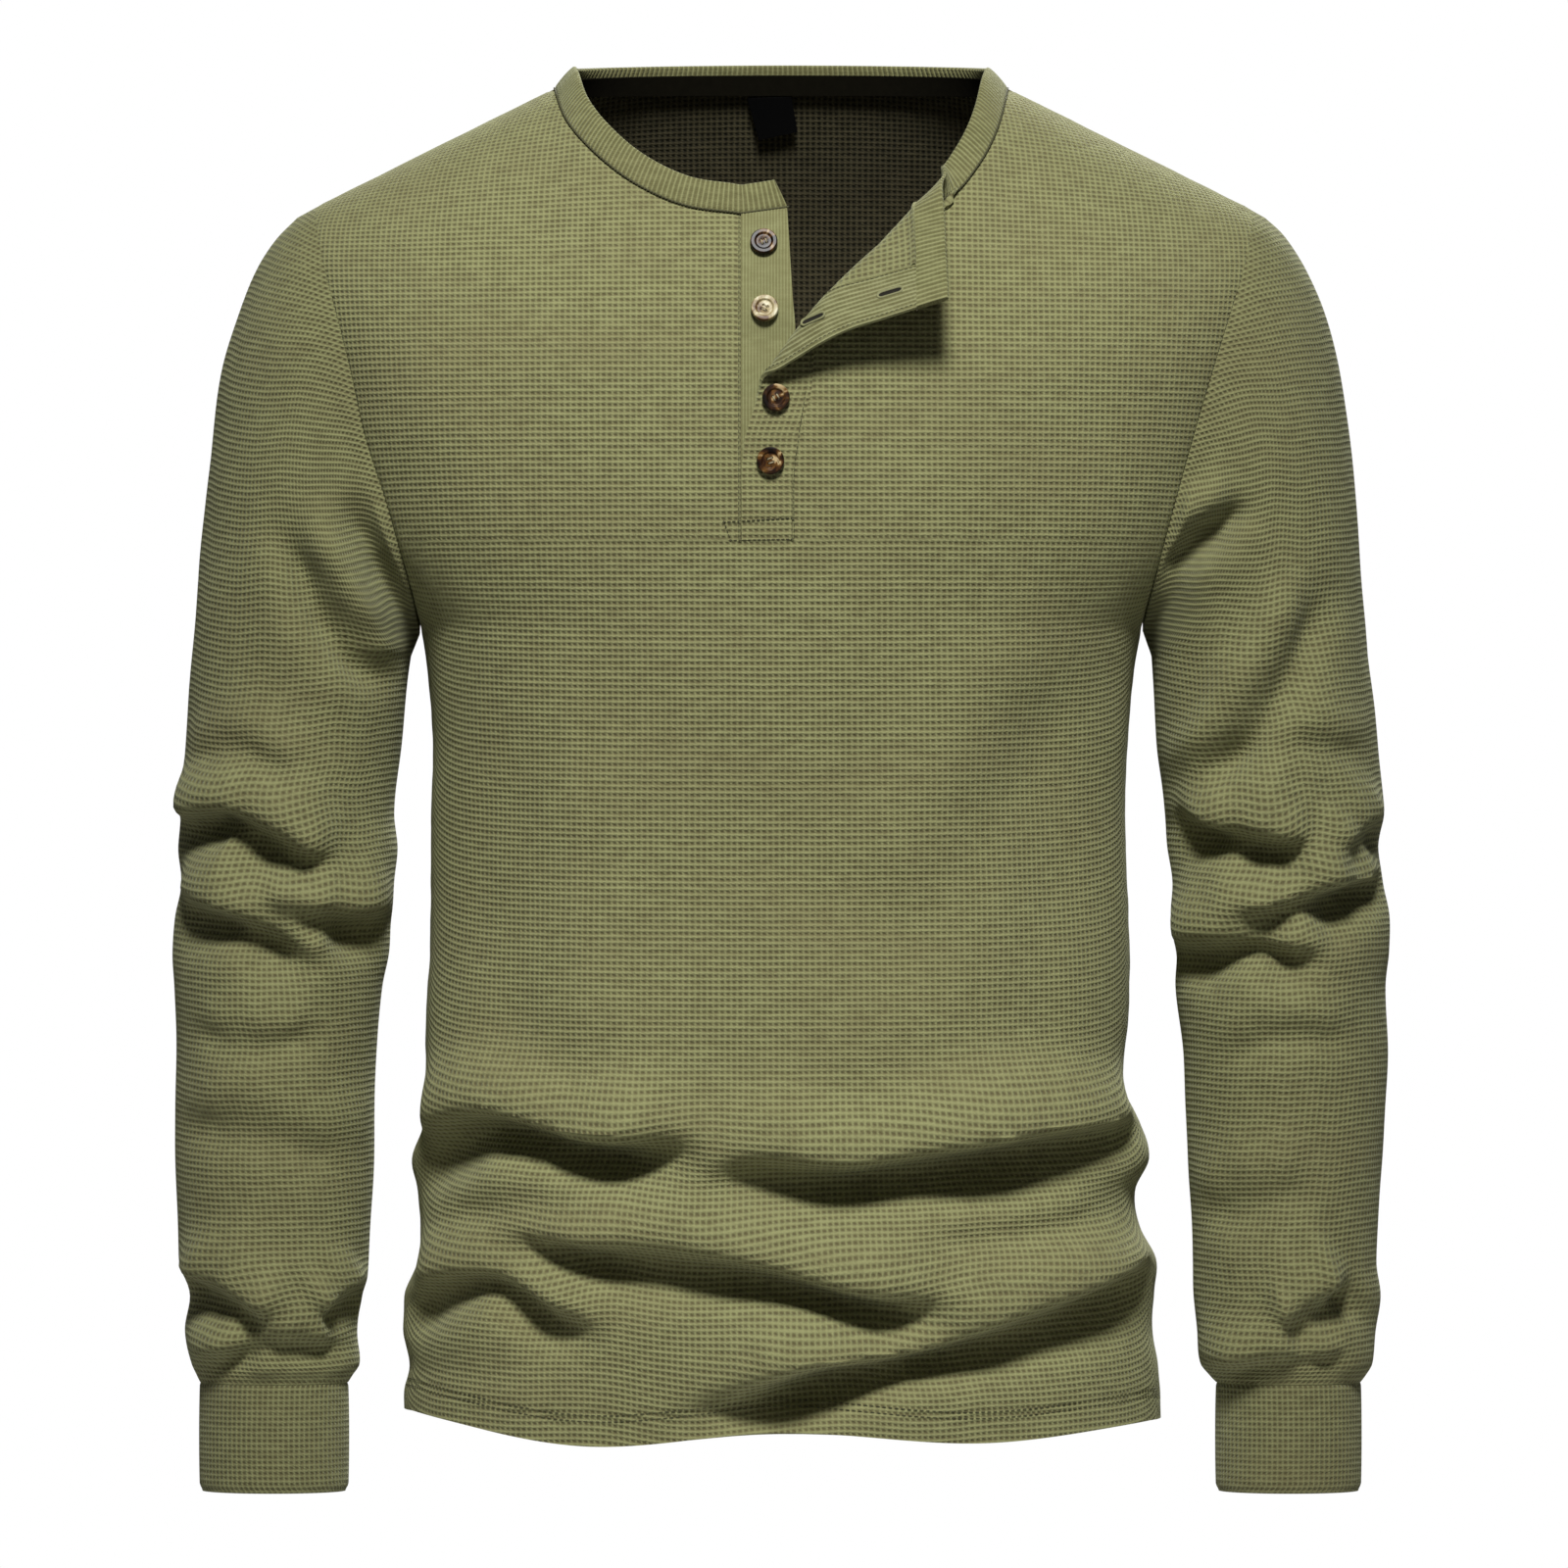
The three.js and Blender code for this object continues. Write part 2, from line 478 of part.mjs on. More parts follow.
// A sleeve from its armhole loop, which runs from the shoulder down the front to the
// armpit and up the back; sign is -1 on the left. The last ring is also the cuff's top.
function makeSleeve(sign, loop) {
  const sleeve = new Piece(BODY_CLOTH, sign > 0);
  const out = sign < 0 ? 'leftOut' : 'rightOut', inside = sign < 0 ? 'leftIn' : 'rightIn';
  const folds = sign < 0 ? leftSleeveFolds : rightSleeveFolds;
  const behind = sleeveBackFolds.map((fold) => ({
    ...fold, path: fold.path.map(([x, z]) => [-sign * x, z]),
  }));
  const top = loop[0], low = loop[loop.length / 2];
  const axis = new THREE.Vector3().subVectors(low, top).setY(0);
  const side = new THREE.Vector3(-axis.z, 0, axis.x).normalize();
  const local = loop.map((point) => {
    const from = new THREE.Vector3().subVectors(point, top);
    const down = (from.x * axis.x + from.z * axis.z) / axis.lengthSq();
    return { down, deep: point.y / ARM_FORWARD, side: from.x * side.x + from.z * side.z,
      angle: Math.atan2(-point.y / ARM_FORWARD, 1 - 2 * down) };
  });
  const sections = [
    ...sleeveFan.map((s, i) => ({ ...s, mid: 0, round: ease((i + 1) / 5) })),
    ...sleeveRows.map((z) => ({
      outX: read(sleeveSizes, 'z', z, out), outZ: z, inX: read(sleeveSizes, 'z', z, inside), inZ: z,
      deep: read(sleeveSizes, 'z', z, 'deep'), mid: read(sleeveSizes, 'z', z, 'mid'), round: 1,
    })),
  ];
  const rings = [loop.map((point) => sleeve.add(point))];
  for (const s of sections) {
    const outer = new THREE.Vector3(sign * s.outX, s.mid, s.outZ);
    const inner = new THREE.Vector3(sign * s.inX, s.mid, s.inZ);
    const way = new THREE.Vector3().subVectors(inner, outer), half = way.length() / 2;
    rings.push(local.map((place) => {
      const down = mix(place.down, (1 - Math.cos(place.angle)) / 2, s.round);
      const deep = mix(place.deep, -Math.sin(place.angle), s.round);
      const point = outer.clone().addScaledVector(way, down)
        .addScaledVector(side, place.side * (1 - s.round));
      point.y += deep * s.deep;
      const turn = new THREE.Vector2(
        -Math.cos(place.angle) / half, -Math.sin(place.angle) / s.deep).normalize();
      const near = ease((s.outX - 232) / 12) * ease((s.outZ + 626) / 12);
      const relief = reliefAt(folds, behind, point.x, point.z, turn.y);
      point.addScaledVector(way, (turn.x * relief.out * near) / (2 * half));
      point.y += turn.y * relief.out * near;
      point.z -= relief.down * near;
      return sleeve.add(point);
    }));
  }
  const count = loop.length;
  for (let r = 0; r + 1 < rings.length; r += 1) {
    for (let i = 0; i < count; i += 1) {
      const j = (i + 1) % count;
      sleeve.quad(rings[r][i], rings[r + 1][i], rings[r + 1][j], rings[r][j]);
    }
  }
  return { sleeve, end: rings.at(-1).map((index) => sleeve.points[index].clone()) };
}

function makeCuff(sign, ring) {
  const cuff = new Piece(CUFF_CLOTH, sign > 0);
  const centre = ring.reduce((sum, p) => sum.add(p), new THREE.Vector3()).divideScalar(ring.length);
  const rows = [
    { down: 0, size: 1 }, { down: 0.3, size: 1.012 }, { down: 0.7, size: 1.01 },
    { down: 0.96, size: 0.995 }, { down: 1, size: 0.97 },
  ].map(({ down, size }) => ring.map((p) => cuff.add(new THREE.Vector3(
    centre.x + (p.x - centre.x) * size, centre.y + (p.y - centre.y) * size, p.z - down * CUFF_TALL))));
  for (let r = 0; r + 1 < rows.length; r += 1) {
    for (let i = 0; i < ring.length; i += 1) {
      const j = (i + 1) % ring.length;
      cuff.quad(rows[r][i], rows[r + 1][i], rows[r + 1][j], rows[r][j]);
    }
  }
  return cuff;
}

// The button stand lies in the slot, dips under the upper placket where that is closed,
// and has its free edge on the right.
const underRows = [
  { z: -217, right: 4.6 }, { z: -195, right: 4.6 }, { z: -172, right: 4.8 }, { z: -150, right: 5.2 },
  { z: -134, right: 6.2 }, { z: -120, right: 6.8 }, { z: -106, right: 5.6 }, { z: -90, right: 4.6 },
  { z: -76, right: 3.8 },
];
function makeUnderPlacket() {
  const placket = new Piece(PLACKET_CLOTH);
  const left = SLOT_LEFT + SEAM_GAP / 2;
  const rows = underRows.map(({ z, right }) => {
    const covered = ease((-108 - z) / 20);
    return [0, 0.33, 0.67, 1].map((share) => {
      const point = bodyPoint(-1, mix(left, right, share), z);
      point.y += covered * (PLACKET_CLOTH + LAY_GAP);
      return placket.add(point);
    });
  });
  const top = [0, 0.33, 0.67, 1].map((share) => bodyPoint(-1,
    mix(SLOT_TOP_LEFT[0], BAND_END[0], share), mix(SLOT_TOP_LEFT[1], BAND_END[1], share)));
  rows.push(top.map((point) => placket.add(point)));
  placket.sheet(rows);
  return { placket, top };
}

const closedRows = [
  { z: -221, left: -19, right: 5.1 }, { z: -204, left: -19, right: 5.1 },
  { z: -188, left: -19, right: 5.1 }, { z: -172, left: -17.5, right: 7.6 },
];
function makeUpperPlacket() {
  const placket = new Piece(PLACKET_CLOTH);
  const shares = [0, 0.2, 0.4, 0.6, 0.8, 1];
  const rows = closedRows.map(({ z, left, right }) => shares.map((share) => placket.add(
    bodyPoint(-1, mix(left + SEAM_GAP / 2, right, share), z))));
  const along = [
    ...[0, 0.25, 0.5, 0.75].map((share) => share * SEAM_MEETS_FOLD),
    ...foldShares.map((share) => mix(SEAM_MEETS_FOLD, FLAP_EDGE_LONG, share)),
  ];
  for (const place of along) {
    rows.push(shares.map((share) => placket.add(flapPoint(...placketPlace(place, share * PLACKET_WIDE)))));
  }
  placket.sheet(rows);
  return { placket, top: rows.at(-1).map((index) => placket.points[index].clone()) };
}

// The neckband stands on the neckline: seam points in order from the button side round
// the back to the turned-out end, each with the rim point above it.
const neckCentre = new THREE.Vector3(0, -12, 0);
function rimAbove(seam, lean, height) {
  const inward = new THREE.Vector3().subVectors(neckCentre, seam).setZ(0).normalize();
  return seam.clone().addScaledVector(inward, Math.sin(lean) * height)
    .add(new THREE.Vector3(0, 0, Math.cos(lean) * height));
}

function makeBand(parts) {
  const band = new Piece(BAND_CLOTH);
  const line = [];
  const stand = (seam, lean, height = BAND_WIDE) => line.push({ seam, rim: rimAbove(seam, lean, height) });
  parts.underTop.slice().reverse().forEach((seam, i) => {
    const rim = rimAbove(seam, 0.3, FLAP_BAND_WIDE);
    rim.x -= i === 0 ? 6 : 2.5;
    line.push({ seam, rim });
  });
  parts.leftNeck.slice(0, -1).reverse().forEach((seam, i) => stand(seam, mix(0.35, 0.75, i / 4)));
  parts.backNeck.slice(1).forEach((seam, i) => (
    stand(seam, mix(0.75, 0.3, Math.sin((Math.PI * (i + 1)) / 8)), 13)));
  parts.rightNeck.slice(1, -1).reverse().forEach((seam, i) => stand(seam, mix(0.78, 0.9, i / 3)));
  flapBandSeam.forEach((place, i) => {
    const before = flapBandSeam[Math.max(0, i - 1)], after = flapBandSeam[Math.min(4, i + 1)];
    const run = Math.hypot(after.a - before.a, after.c - before.c);
    const rim = flapPoint(place.a + (FLAP_BAND_WIDE * (after.c - before.c)) / run,
      place.c - (FLAP_BAND_WIDE * (after.a - before.a)) / run);
    line.push({ seam: parts.cornerNeck[i], rim });
  });
  parts.upperTop.slice(0, -1).reverse().forEach((seam, i) => {
    const across = PLACKET_WIDE * (0.8 - 0.2 * i);
    line.push({ seam, rim: flapPoint(...placketPlace(FLAP_EDGE_LONG + FLAP_BAND_WIDE, across)) });
  });
  const columns = line.map(({ seam, rim }) => (
    [0, 0.6, 1].map((up) => band.add(seam.clone().lerp(rim, up)))));
  for (let i = 0; i + 1 < columns.length; i += 1) {
    for (let k = 0; k < 2; k += 1) {
      band.quad(columns[i + 1][k], columns[i][k], columns[i][k + 1], columns[i + 1][k + 1]);
    }
  }
  return { band, columns };
}

// Outward directions, shared by the pieces that meet at a seam.
function shareNormals(pieces) {
  const sums = new Map();
  const key = (p) => `${Math.round(p.x * 50)},${Math.round(p.y * 50)},${Math.round(p.z * 50)}`;
  for (const piece of pieces) {
    piece.own = piece.points.map(() => new THREE.Vector3());
    for (const face of piece.faces) {
      face.forEach((index, k) => {
        const p = piece.points[index];
        const a = piece.points[face[(k + 1) % 3]].clone().sub(p);
        const b = piece.points[face[(k + 2) % 3]].clone().sub(p);
        const turn = a.clone().cross(b).normalize().multiplyScalar(a.angleTo(b));
        piece.own[index].add(turn);
        const at = key(p);
        if (!sums.has(at)) sums.set(at, new THREE.Vector3());
        sums.get(at).add(turn);
      });
    }
  }
  for (const piece of pieces) {
    piece.own.forEach((normal) => normal.normalize());
    piece.normals = piece.points.map((p) => sums.get(key(p)).clone().normalize());
  }
}

// The closed wall of a piece: outer face, inner face and the edges between them, drawn
// back by half the seam gap all round.
function wall(piece) {
  const edges = new Map();
  for (const [a, b, c] of piece.faces) {
    for (const [u, v] of [[a, b], [b, c], [c, a]]) {
      if (edges.has(`${v},${u}`)) edges.delete(`${v},${u}`);
      else edges.set(`${u},${v}`, [u, v]);
    }
  }
  const next = new Map(), before = new Map();
  for (const [u, v] of edges.values()) { next.set(u, v); before.set(v, u); }
  const outer = piece.points.map((point, index) => {
    if (!next.has(index)) return point.clone();
    const way = (from, to) => new THREE.Vector3().crossVectors(piece.own[index],
      piece.points[to].clone().sub(piece.points[from])).normalize();
    const one = way(before.get(index), index), two = way(index, next.get(index));
    const share = SEAM_GAP / 2 / Math.max(0.35, 1 + one.dot(two));
    return point.clone().addScaledVector(one.add(two), share);
  });
  const inner = outer.map((point, i) => point.clone().addScaledVector(piece.normals[i], -piece.cloth));
  const count = outer.length, faces = [];
  for (const [a, b, c] of piece.faces) faces.push([a, b, c], [a + count, c + count, b + count]);
  for (const [u, v] of edges.values()) {
    const p = piece.points[u], q = piece.points[v];
    if (p.z + 0.31 * p.x < q.z + 0.31 * q.x) faces.push([v, u, u + count], [v, u + count, v + count]);
    else faces.push([v, u, v + count], [u, u + count, v + count]);
  }
  return { points: [...outer, ...inner], faces };
}

const shirt = new THREE.Group();
shirt.name = 'henley_shirt';

function addMesh(name, solid, colour, roughness = 0.9) {
  const geometry = new THREE.BufferGeometry();
  const places = solid.points.flatMap((p) => [p.x, p.y, p.z]);
  geometry.setAttribute('position', new THREE.Float32BufferAttribute(places, 3));
  geometry.setIndex(solid.faces.flat());
  geometry.computeVertexNormals();
  const finish = new THREE.MeshStandardMaterial({ color: colour, roughness, metalness: 0 });
  const mesh = new THREE.Mesh(geometry, finish);
  mesh.name = name;
  shirt.add(mesh);
}

const fronts = makeFront();
const backs = makeBack();
const loopOf = (frontEdge, backEdge) => [...frontEdge.slice().reverse(), ...backEdge.slice(1, -1)];
const leftArm = makeSleeve(-1, loopOf(fronts.leftEdge, backs.leftEdge));
const rightArm = makeSleeve(1, loopOf(fronts.rightEdge, backs.rightEdge));
const leftCuff = makeCuff(-1, leftArm.end);
const rightCuff = makeCuff(1, rightArm.end);
const under = makeUnderPlacket();
const upper = makeUpperPlacket();
const neckband = makeBand({
  underTop: under.top, leftNeck: fronts.leftNeck, backNeck: backs.neck,
  rightNeck: fronts.rightNeck, cornerNeck: fronts.cornerNeck, upperTop: upper.top,
});
const clothPieces = {
  front: fronts.front, back: backs.back, sleeve_left: leftArm.sleeve, sleeve_right: rightArm.sleeve,
  cuff_left: leftCuff, cuff_right: rightCuff, placket_under: under.placket,
  placket_upper: upper.placket, neckband: neckband.band,
};
shareNormals(Object.values(clothPieces));
for (const [name, piece] of Object.entries(clothPieces)) {
  addMesh(name, wall(piece), name === 'neckband' ? BAND_COLOUR : CLOTH_COLOUR);
}

// Tape over the back neck seam, on the inside of the band.
function makeTape() {
  const tape = new Piece(TAPE_CLOTH);
  const { band, columns } = neckband;
  const first = under.top.length + fronts.leftNeck.length - 2;
  const columnsUsed = columns.slice(first, first + backs.neck.length);
  const rows = columnsUsed.map((column) => [0, 1].map((k) => tape.add(band.points[column[k]].clone()
    .addScaledVector(band.normals[column[k]], -BAND_CLOTH - LAY_GAP))));
  for (let i = 0; i + 1 < rows.length; i += 1) {
    tape.quad(rows[i + 1][0], rows[i][0], rows[i][1], rows[i + 1][1]);
  }
  shareNormals([tape]);
  return tape;
}
addMesh('neck_tape', wall(makeTape()), TAPE_COLOUR);

// Plain label hanging from the tape against the inside of the back, slightly askew.
const labelCorners = { low: [[-11, -24], [8, -20]], high: [[-16.5, -4.5], [5, -4]] };
function makeLabel() {
  const label = new Piece(TAPE_CLOTH, true);
  const rows = [0, 0.5, 1].map((up) => [0, 0.5, 1].map((across) => {
    const [x, z] = [0, 1].map((k) => mix(mix(labelCorners.low[0][k], labelCorners.low[1][k], across),
      mix(labelCorners.high[0][k], labelCorners.high[1][k], across), up));
    return label.add(bodyPoint(1, x, z));
  }));
  label.sheet(rows);
  shareNormals([label]);
  const away = BODY_CLOTH + LAY_GAP * 2;
  label.points.forEach((point, i) => point.addScaledVector(label.normals[i], -away));
  return label;
}
addMesh('label', wall(makeLabel()), LABEL_COLOUR, 0.5);

// Buttons: a disc with a raised rim and a sunk middle.
const buttonPlaces = [
  { x: -8.2, z: -79 }, { x: -7.8, z: -111 }, { x: -2.4, z: -153.5 }, { x: -5, z: -183.5 },
];
function buttonSolid(place) {
  const r = BUTTON_ACROSS / 2, t = BUTTON_THICK;
  const profile = [
    [0, 0], [r - 0.8, 0], [r, 0.9], [r, t - 0.7], [r - 0.7, t], [r - 1.7, t], [r - 2.6, t - 1], [0, t - 1],
  ];
  const lathe = new THREE.LatheGeometry(profile.map(([x, y]) => new THREE.Vector2(x, y)), 20);
  const at = bodyPoint(-1, place.x, place.z);
  const side = bodyPoint(-1, place.x + 1, place.z).sub(at).normalize();
  const up = bodyPoint(-1, place.x, place.z + 1).sub(at).normalize();
  const away = new THREE.Vector3().crossVectors(side, up).normalize();
  const turn = new THREE.Matrix4().makeBasis(side, away, new THREE.Vector3().crossVectors(side, away));
  turn.setPosition(at.addScaledVector(away, LAY_GAP));
  lathe.applyMatrix4(turn);
  return lathe;
}
buttonPlaces.forEach((place, i) => {
  const finish = new THREE.MeshStandardMaterial({ color: BUTTON_COLOUR, roughness: 0.25, metalness: 0 });
  const mesh = new THREE.Mesh(buttonSolid(place), finish);
  mesh.name = `button_${i + 1}`;
  shirt.add(mesh);
});

export default shirt;
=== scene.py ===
import math
import bpy
import numpy as np
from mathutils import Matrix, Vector
from mathutils.kdtree import KDTree


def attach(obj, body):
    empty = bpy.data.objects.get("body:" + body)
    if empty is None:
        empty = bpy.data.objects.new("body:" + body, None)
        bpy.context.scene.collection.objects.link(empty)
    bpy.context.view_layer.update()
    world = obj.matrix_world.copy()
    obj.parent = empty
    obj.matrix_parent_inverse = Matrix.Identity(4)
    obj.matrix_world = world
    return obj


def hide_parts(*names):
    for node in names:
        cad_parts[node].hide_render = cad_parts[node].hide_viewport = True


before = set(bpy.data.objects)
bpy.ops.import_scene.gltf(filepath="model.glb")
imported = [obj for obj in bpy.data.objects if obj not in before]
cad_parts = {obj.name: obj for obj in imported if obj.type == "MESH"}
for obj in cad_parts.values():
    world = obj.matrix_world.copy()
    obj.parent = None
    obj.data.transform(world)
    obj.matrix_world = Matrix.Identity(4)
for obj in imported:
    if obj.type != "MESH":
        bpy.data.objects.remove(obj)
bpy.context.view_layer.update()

# Sizes are in millimetres, as they are cut and sewn; they become metres in new_piece().
CLOTH = 1.6
PLACKET_CLOTH = 1.8
BAND_CLOTH = 2.4
CUFF_CLOTH = 2.2

HEM_HEIGHT = -640.0
HEM_STITCHES = (12.0, 15.0)  # heights of its two rows above the edge
SLEEVE_FOOT = -626.0
SLEEVE_HANGS_FROM = -275.0
NECK_SIDE = 109.5
NECK_SIDE_HEIGHT = 0.5
SHOULDER_SLOPE = 0.497
NECK_RISE = 44.0
SHOULDER_ROUND_FROM = -150.0
ARMPIT_HEIGHT = -262.0
ARM_FORWARD = 62.0
CHEST_SQUARE = 2.4

SLOT_LEFT = -19.3
SLOT_RIGHT = 5.3
SLOT_BOTTOM = -221.3
SLOT_TOP = -64.0
PLACKET_WIDE = 24.0
BAND_WIDE = 15.0
BACK_BAND_WIDE = 13.0
FLAP_BAND_WIDE = 14.0
CUFF_TALL = 52.5
BUTTON_ACROSS = 13.2
BUTTON_THICK = 2.8
WAFFLE = 2.87


def table(columns, *rows):
    return {name: np.array([row[i] for row in rows], float)
            for i, name in enumerate(columns.split())}


# Half widths at the side seams, and above the armpit at the armhole seams.
SIDES = table(
    "z left right",
    (-646, 182.5, 184), (-630, 182.5, 183.5), (-618, 180, 182.5), (-601, 183.5, 180), (-584, 182.5, 181),
    (-568, 175, 182), (-551, 174.5, 173.5), (-534, 176.5, 171.5), (-518, 179.5, 178.5),
    (-501, 172, 174), (-484, 171.5, 165.5), (-451, 172, 168), (-418, 170, 168.5),
    (-351, 169.5, 166.5), (-318, 168.5, 167.5), (-285, 171, 170.5), (-262, 174.5, 174.5),
    (-242, 179, 178.5), (-204, 188.6, 188), (-168, 200, 198), (-143, 206, 206),
    (-114, 213.5, 215), (-84, 221, 224), (-66, 224.5, 227.5), (-57, 225, 228),
)
DEPTHS = table(
    "z front back",
    (-650, 106, 100), (-600, 108, 102), (-520, 110, 104), (-450, 107, 98), (-380, 105, 94),
    (-320, 109, 100), (-262, 115, 108), (-200, 119, 115), (-150, 116, 116), (-110, 110, 112),
    (-62, 99, 102), (-20, 92, 92), (10, 88, 86),
)
FRONT_HEM = table("x z", (-178, -639), (-94, -653), (0, -646), (96, -651.5), (178, -643.5))
BACK_HEM = table("x z", (-178, -639), (0, -641), (178, -643.5))

# Folds in the front view: trough's width and depth, overhang of the ridge above, path.
FRONT_FOLDS = [
    (7.5, 17, 6, [(-200, -529), (-174, -515), (-142, -498), (-92, -508), (-28, -511)]),
    (8.5, 19, 7, [(-48, -541), (-19, -522), (30, -521), (78, -514), (146, -504), (200, -500)]),
    (7.5, 16, 6, [(-150, -553), (-79, -560), (-19, -567), (30, -579), (110, -594)]),
    (6.5, 11, 4.5, [(-205, -603), (-167, -579), (-138, -573), (-111, -588), (-80, -605)]),
    (7.5, 17, 6, [(205, -558), (126, -591), (54, -611), (18, -616), (-19, -630), (-60, -642)]),
    (30, 3.5, 0, [(120, -270), (128, -380), (112, -470), (96, -520)]),
    (26, 2.5, 0, [(-128, -300), (-134, -400), (-120, -500)]),
    (24, 2.2, 0, [(160, -262), (110, -330), (60, -420)]),
    (9, 2.2, 1, [(-170, -545), (-120, -538), (-70, -541)]),
    (9, 2.4, 1, [(60, -556), (120, -551), (168, -541)]),
    (8, 2.4, 1, [(-10, -598), (40, -604), (92, -612)]),
]
BACK_FOLDS = [
    (8, 9, 7, [(-200, -520), (-120, -508), (-40, -518), (30, -524)]),
    (8, 10, 7, [(-60, -556), (10, -546), (90, -538), (200, -512)]),
    (7, 9, 6, [(-205, -592), (-120, -574), (-30, -582), (60, -598)]),
    (9, 5, 3, [(-110, -420), (-20, -432), (90, -418)]),
    (7, 8, 5, [(10, -622), (90, -604), (200, -584)]),
    (26, 3, 0, [(-120, -260), (-128, -380), (-112, -480)]),
    (26, 3, 0, [(118, -250), (130, -370), (120, -480)]),
    (10, 3, 1, [(-150, -236), (-90, -222), (-30, -218)]),
]

SLEEVE_FAN = [  # outer end, inner end (distance out, height), half depth
    (234.5, -62.5, 174.7, -263.3, 62), (245, -73, 175.0, -264.7, 62), (255.5, -90, 175.4, -266.2, 62),
    (264.5, -113, 175.9, -267.8, 61.5), (272, -143, 176.5, -269.5, 61), (277.5, -185, 177.2, -271.3, 60),
    (282, -232, 177.9, -273.2, 59), (285.5, -275, 178.6, -275.2, 58),
]
SLEEVE_SIZES = table(
    "z left_out left_in right_out right_in deep mid",
    (-626, 281, 209, 280.3, 210, 32, -14), (-623, 282.5, 207, 282.5, 207, 34, -14),
    (-617, 285, 203, 285.5, 202.5, 41, -14), (-601, 288, 204, 287, 201, 43, -13),
    (-584, 286, 201, 289.5, 199, 44, -13), (-568, 290.5, 199, 288, 198.5, 45, -12),
    (-518, 293, 197, 291, 196, 48, -10), (-468, 293, 195, 293, 194, 51, -8),
    (-435, 294, 192.5, 292.5, 190, 53, -7), (-418, 295, 189, 294.5, 190, 54, -6),
    (-401, 294, 188, 295, 188.5, 55, -5), (-385, 290.5, 187.5, 292, 189, 55, -4),
    (-368, 292.5, 185, 290, 186, 56, -4), (-351, 291, 186, 292, 185.5, 56, -3),
    (-318, 289, 183, 289, 182, 57, -2), (-275, 285.5, 178.6, 283.5, 178.6, 58, 0),
)
LEFT_SLEEVE_FOLDS = [
    (10, 8, 1, [(-243, -204), (-208, -274), (-182, -293)]),
    (9, 6, 0, [(-208, -195), (-181, -258)]),
    (7, 13, 5, [(-300, -364), (-270, -351), (-255, -357), (-233, -370), (-214, -380)]),
    (6.5, 11, 4, [(-256, -391), (-225, -398), (-185, -406)]),
    (7, 12, 4, [(-300, -394), (-263, -402), (-240, -413), (-218, -428)]),
    (12, 3, 1, [(-300, -500), (-242, -507), (-200, -524)]),
    (7, 9, 4, [(-300, -570), (-259, -588), (-238, -598)]),
    (6, 7, 3, [(-226, -594), (-218, -590), (-195, -577)]),
    (6, 7, 3, [(-290, -622), (-259, -608), (-242, -605), (-200, -609)]),
    (9, 2.5, 1, [(-292, -330), (-262, -322), (-226, -338)]),
    (8, 2.5, 1, [(-292, -452), (-256, -462), (-214, -456)]),
]
RIGHT_SLEEVE_FOLDS = [
    (9, 8, 1, [(178, -238), (228, -198)]),
    (11, 8, 1, [(190, -350), (236, -298), (266, -233)]),
    (7, 13, 5, [(184, -352), (228, -364), (258, -368)]),
    (7, 7, 2.5, [(262, -372), (276, -365), (300, -352)]),
    (7, 13, 5, [(208, -406), (258, -391), (300, -381)]),
    (6.5, 11, 4, [(182, -421), (221, -414), (266, -423)]),
    (12, 3, 1, [(196, -546), (232, -537), (262, -529)]),
    (7, 9, 3, [(236, -601), (250, -594), (280, -574)]),
    (6, 7, 3, [(198, -623), (232, -615), (280, -612)]),
    (9, 2.5, 1, [(206, -472), (240, -458), (282, -462)]),
    (9, 2.5, 1, [(214, -330), (250, -318), (288, -326)]),
]
SLEEVE_BACK_FOLDS = [  # given for the left sleeve
    (7, 8, 4, [(-300, -360), (-250, -368), (-180, -358)]),
    (7, 8, 4, [(-270, -396), (-230, -404), (-180, -398)]),
    (7, 7, 4, [(-300, -424), (-262, -432), (-215, -424)]),
    (10, 5, 1, [(-280, -206), (-240, -258), (-200, -300)]),
    (7, 5, 3, [(-290, -590), (-250, -598), (-206, -588)]),
    (12, 3, 1, [(-292, -516), (-250, -508), (-206, -520)]),
]

LEFT_NECKLINE = [(-NECK_SIDE, NECK_SIDE_HEIGHT), (-103, -17), (-88.8, -34), (-69.8, -49), (-46, -60),
                 (SLOT_LEFT, SLOT_TOP)]
RIGHT_NECKLINE = [(84.5, -53), (89.3, -47), (97.9, -34), (104.5, -19), (NECK_SIDE, NECK_SIDE_HEIGHT)]
BACK_NECK_HEIGHT = 2.0
BAND_END = (2.8, -61.0)


def ease(t):
    t = np.clip(t, 0, 1)
    return t * t * (3 - 2 * t)


def mix(a, b, t):
    return a + (b - a) * t


def unit(v):
    return v / np.maximum(np.linalg.norm(v, axis=-1, keepdims=True), 1e-12)


def read(rows, key, at, column):
    """One column of a table between its rows, as a smooth curve."""
    keys, values = rows[key], rows[column]
    at = np.clip(np.asarray(at, float), keys[0], keys[-1])
    i = np.clip(np.searchsorted(keys, at, side="right") - 1, 0, len(keys) - 2)
    order = np.arange(len(keys))
    low, high = np.maximum(order - 1, 0), np.minimum(order + 1, len(keys) - 1)
    slope = (values[high] - values[low]) / (keys[high] - keys[low])
    run = keys[i + 1] - keys[i]
    t = (at - keys[i]) / run
    return (values[i] * (1 + 2 * t) * (1 - t) ** 2 + slope[i] * run * t * (1 - t) ** 2
            + values[i + 1] * t * t * (3 - 2 * t) + slope[i + 1] * run * t * t * (t - 1))


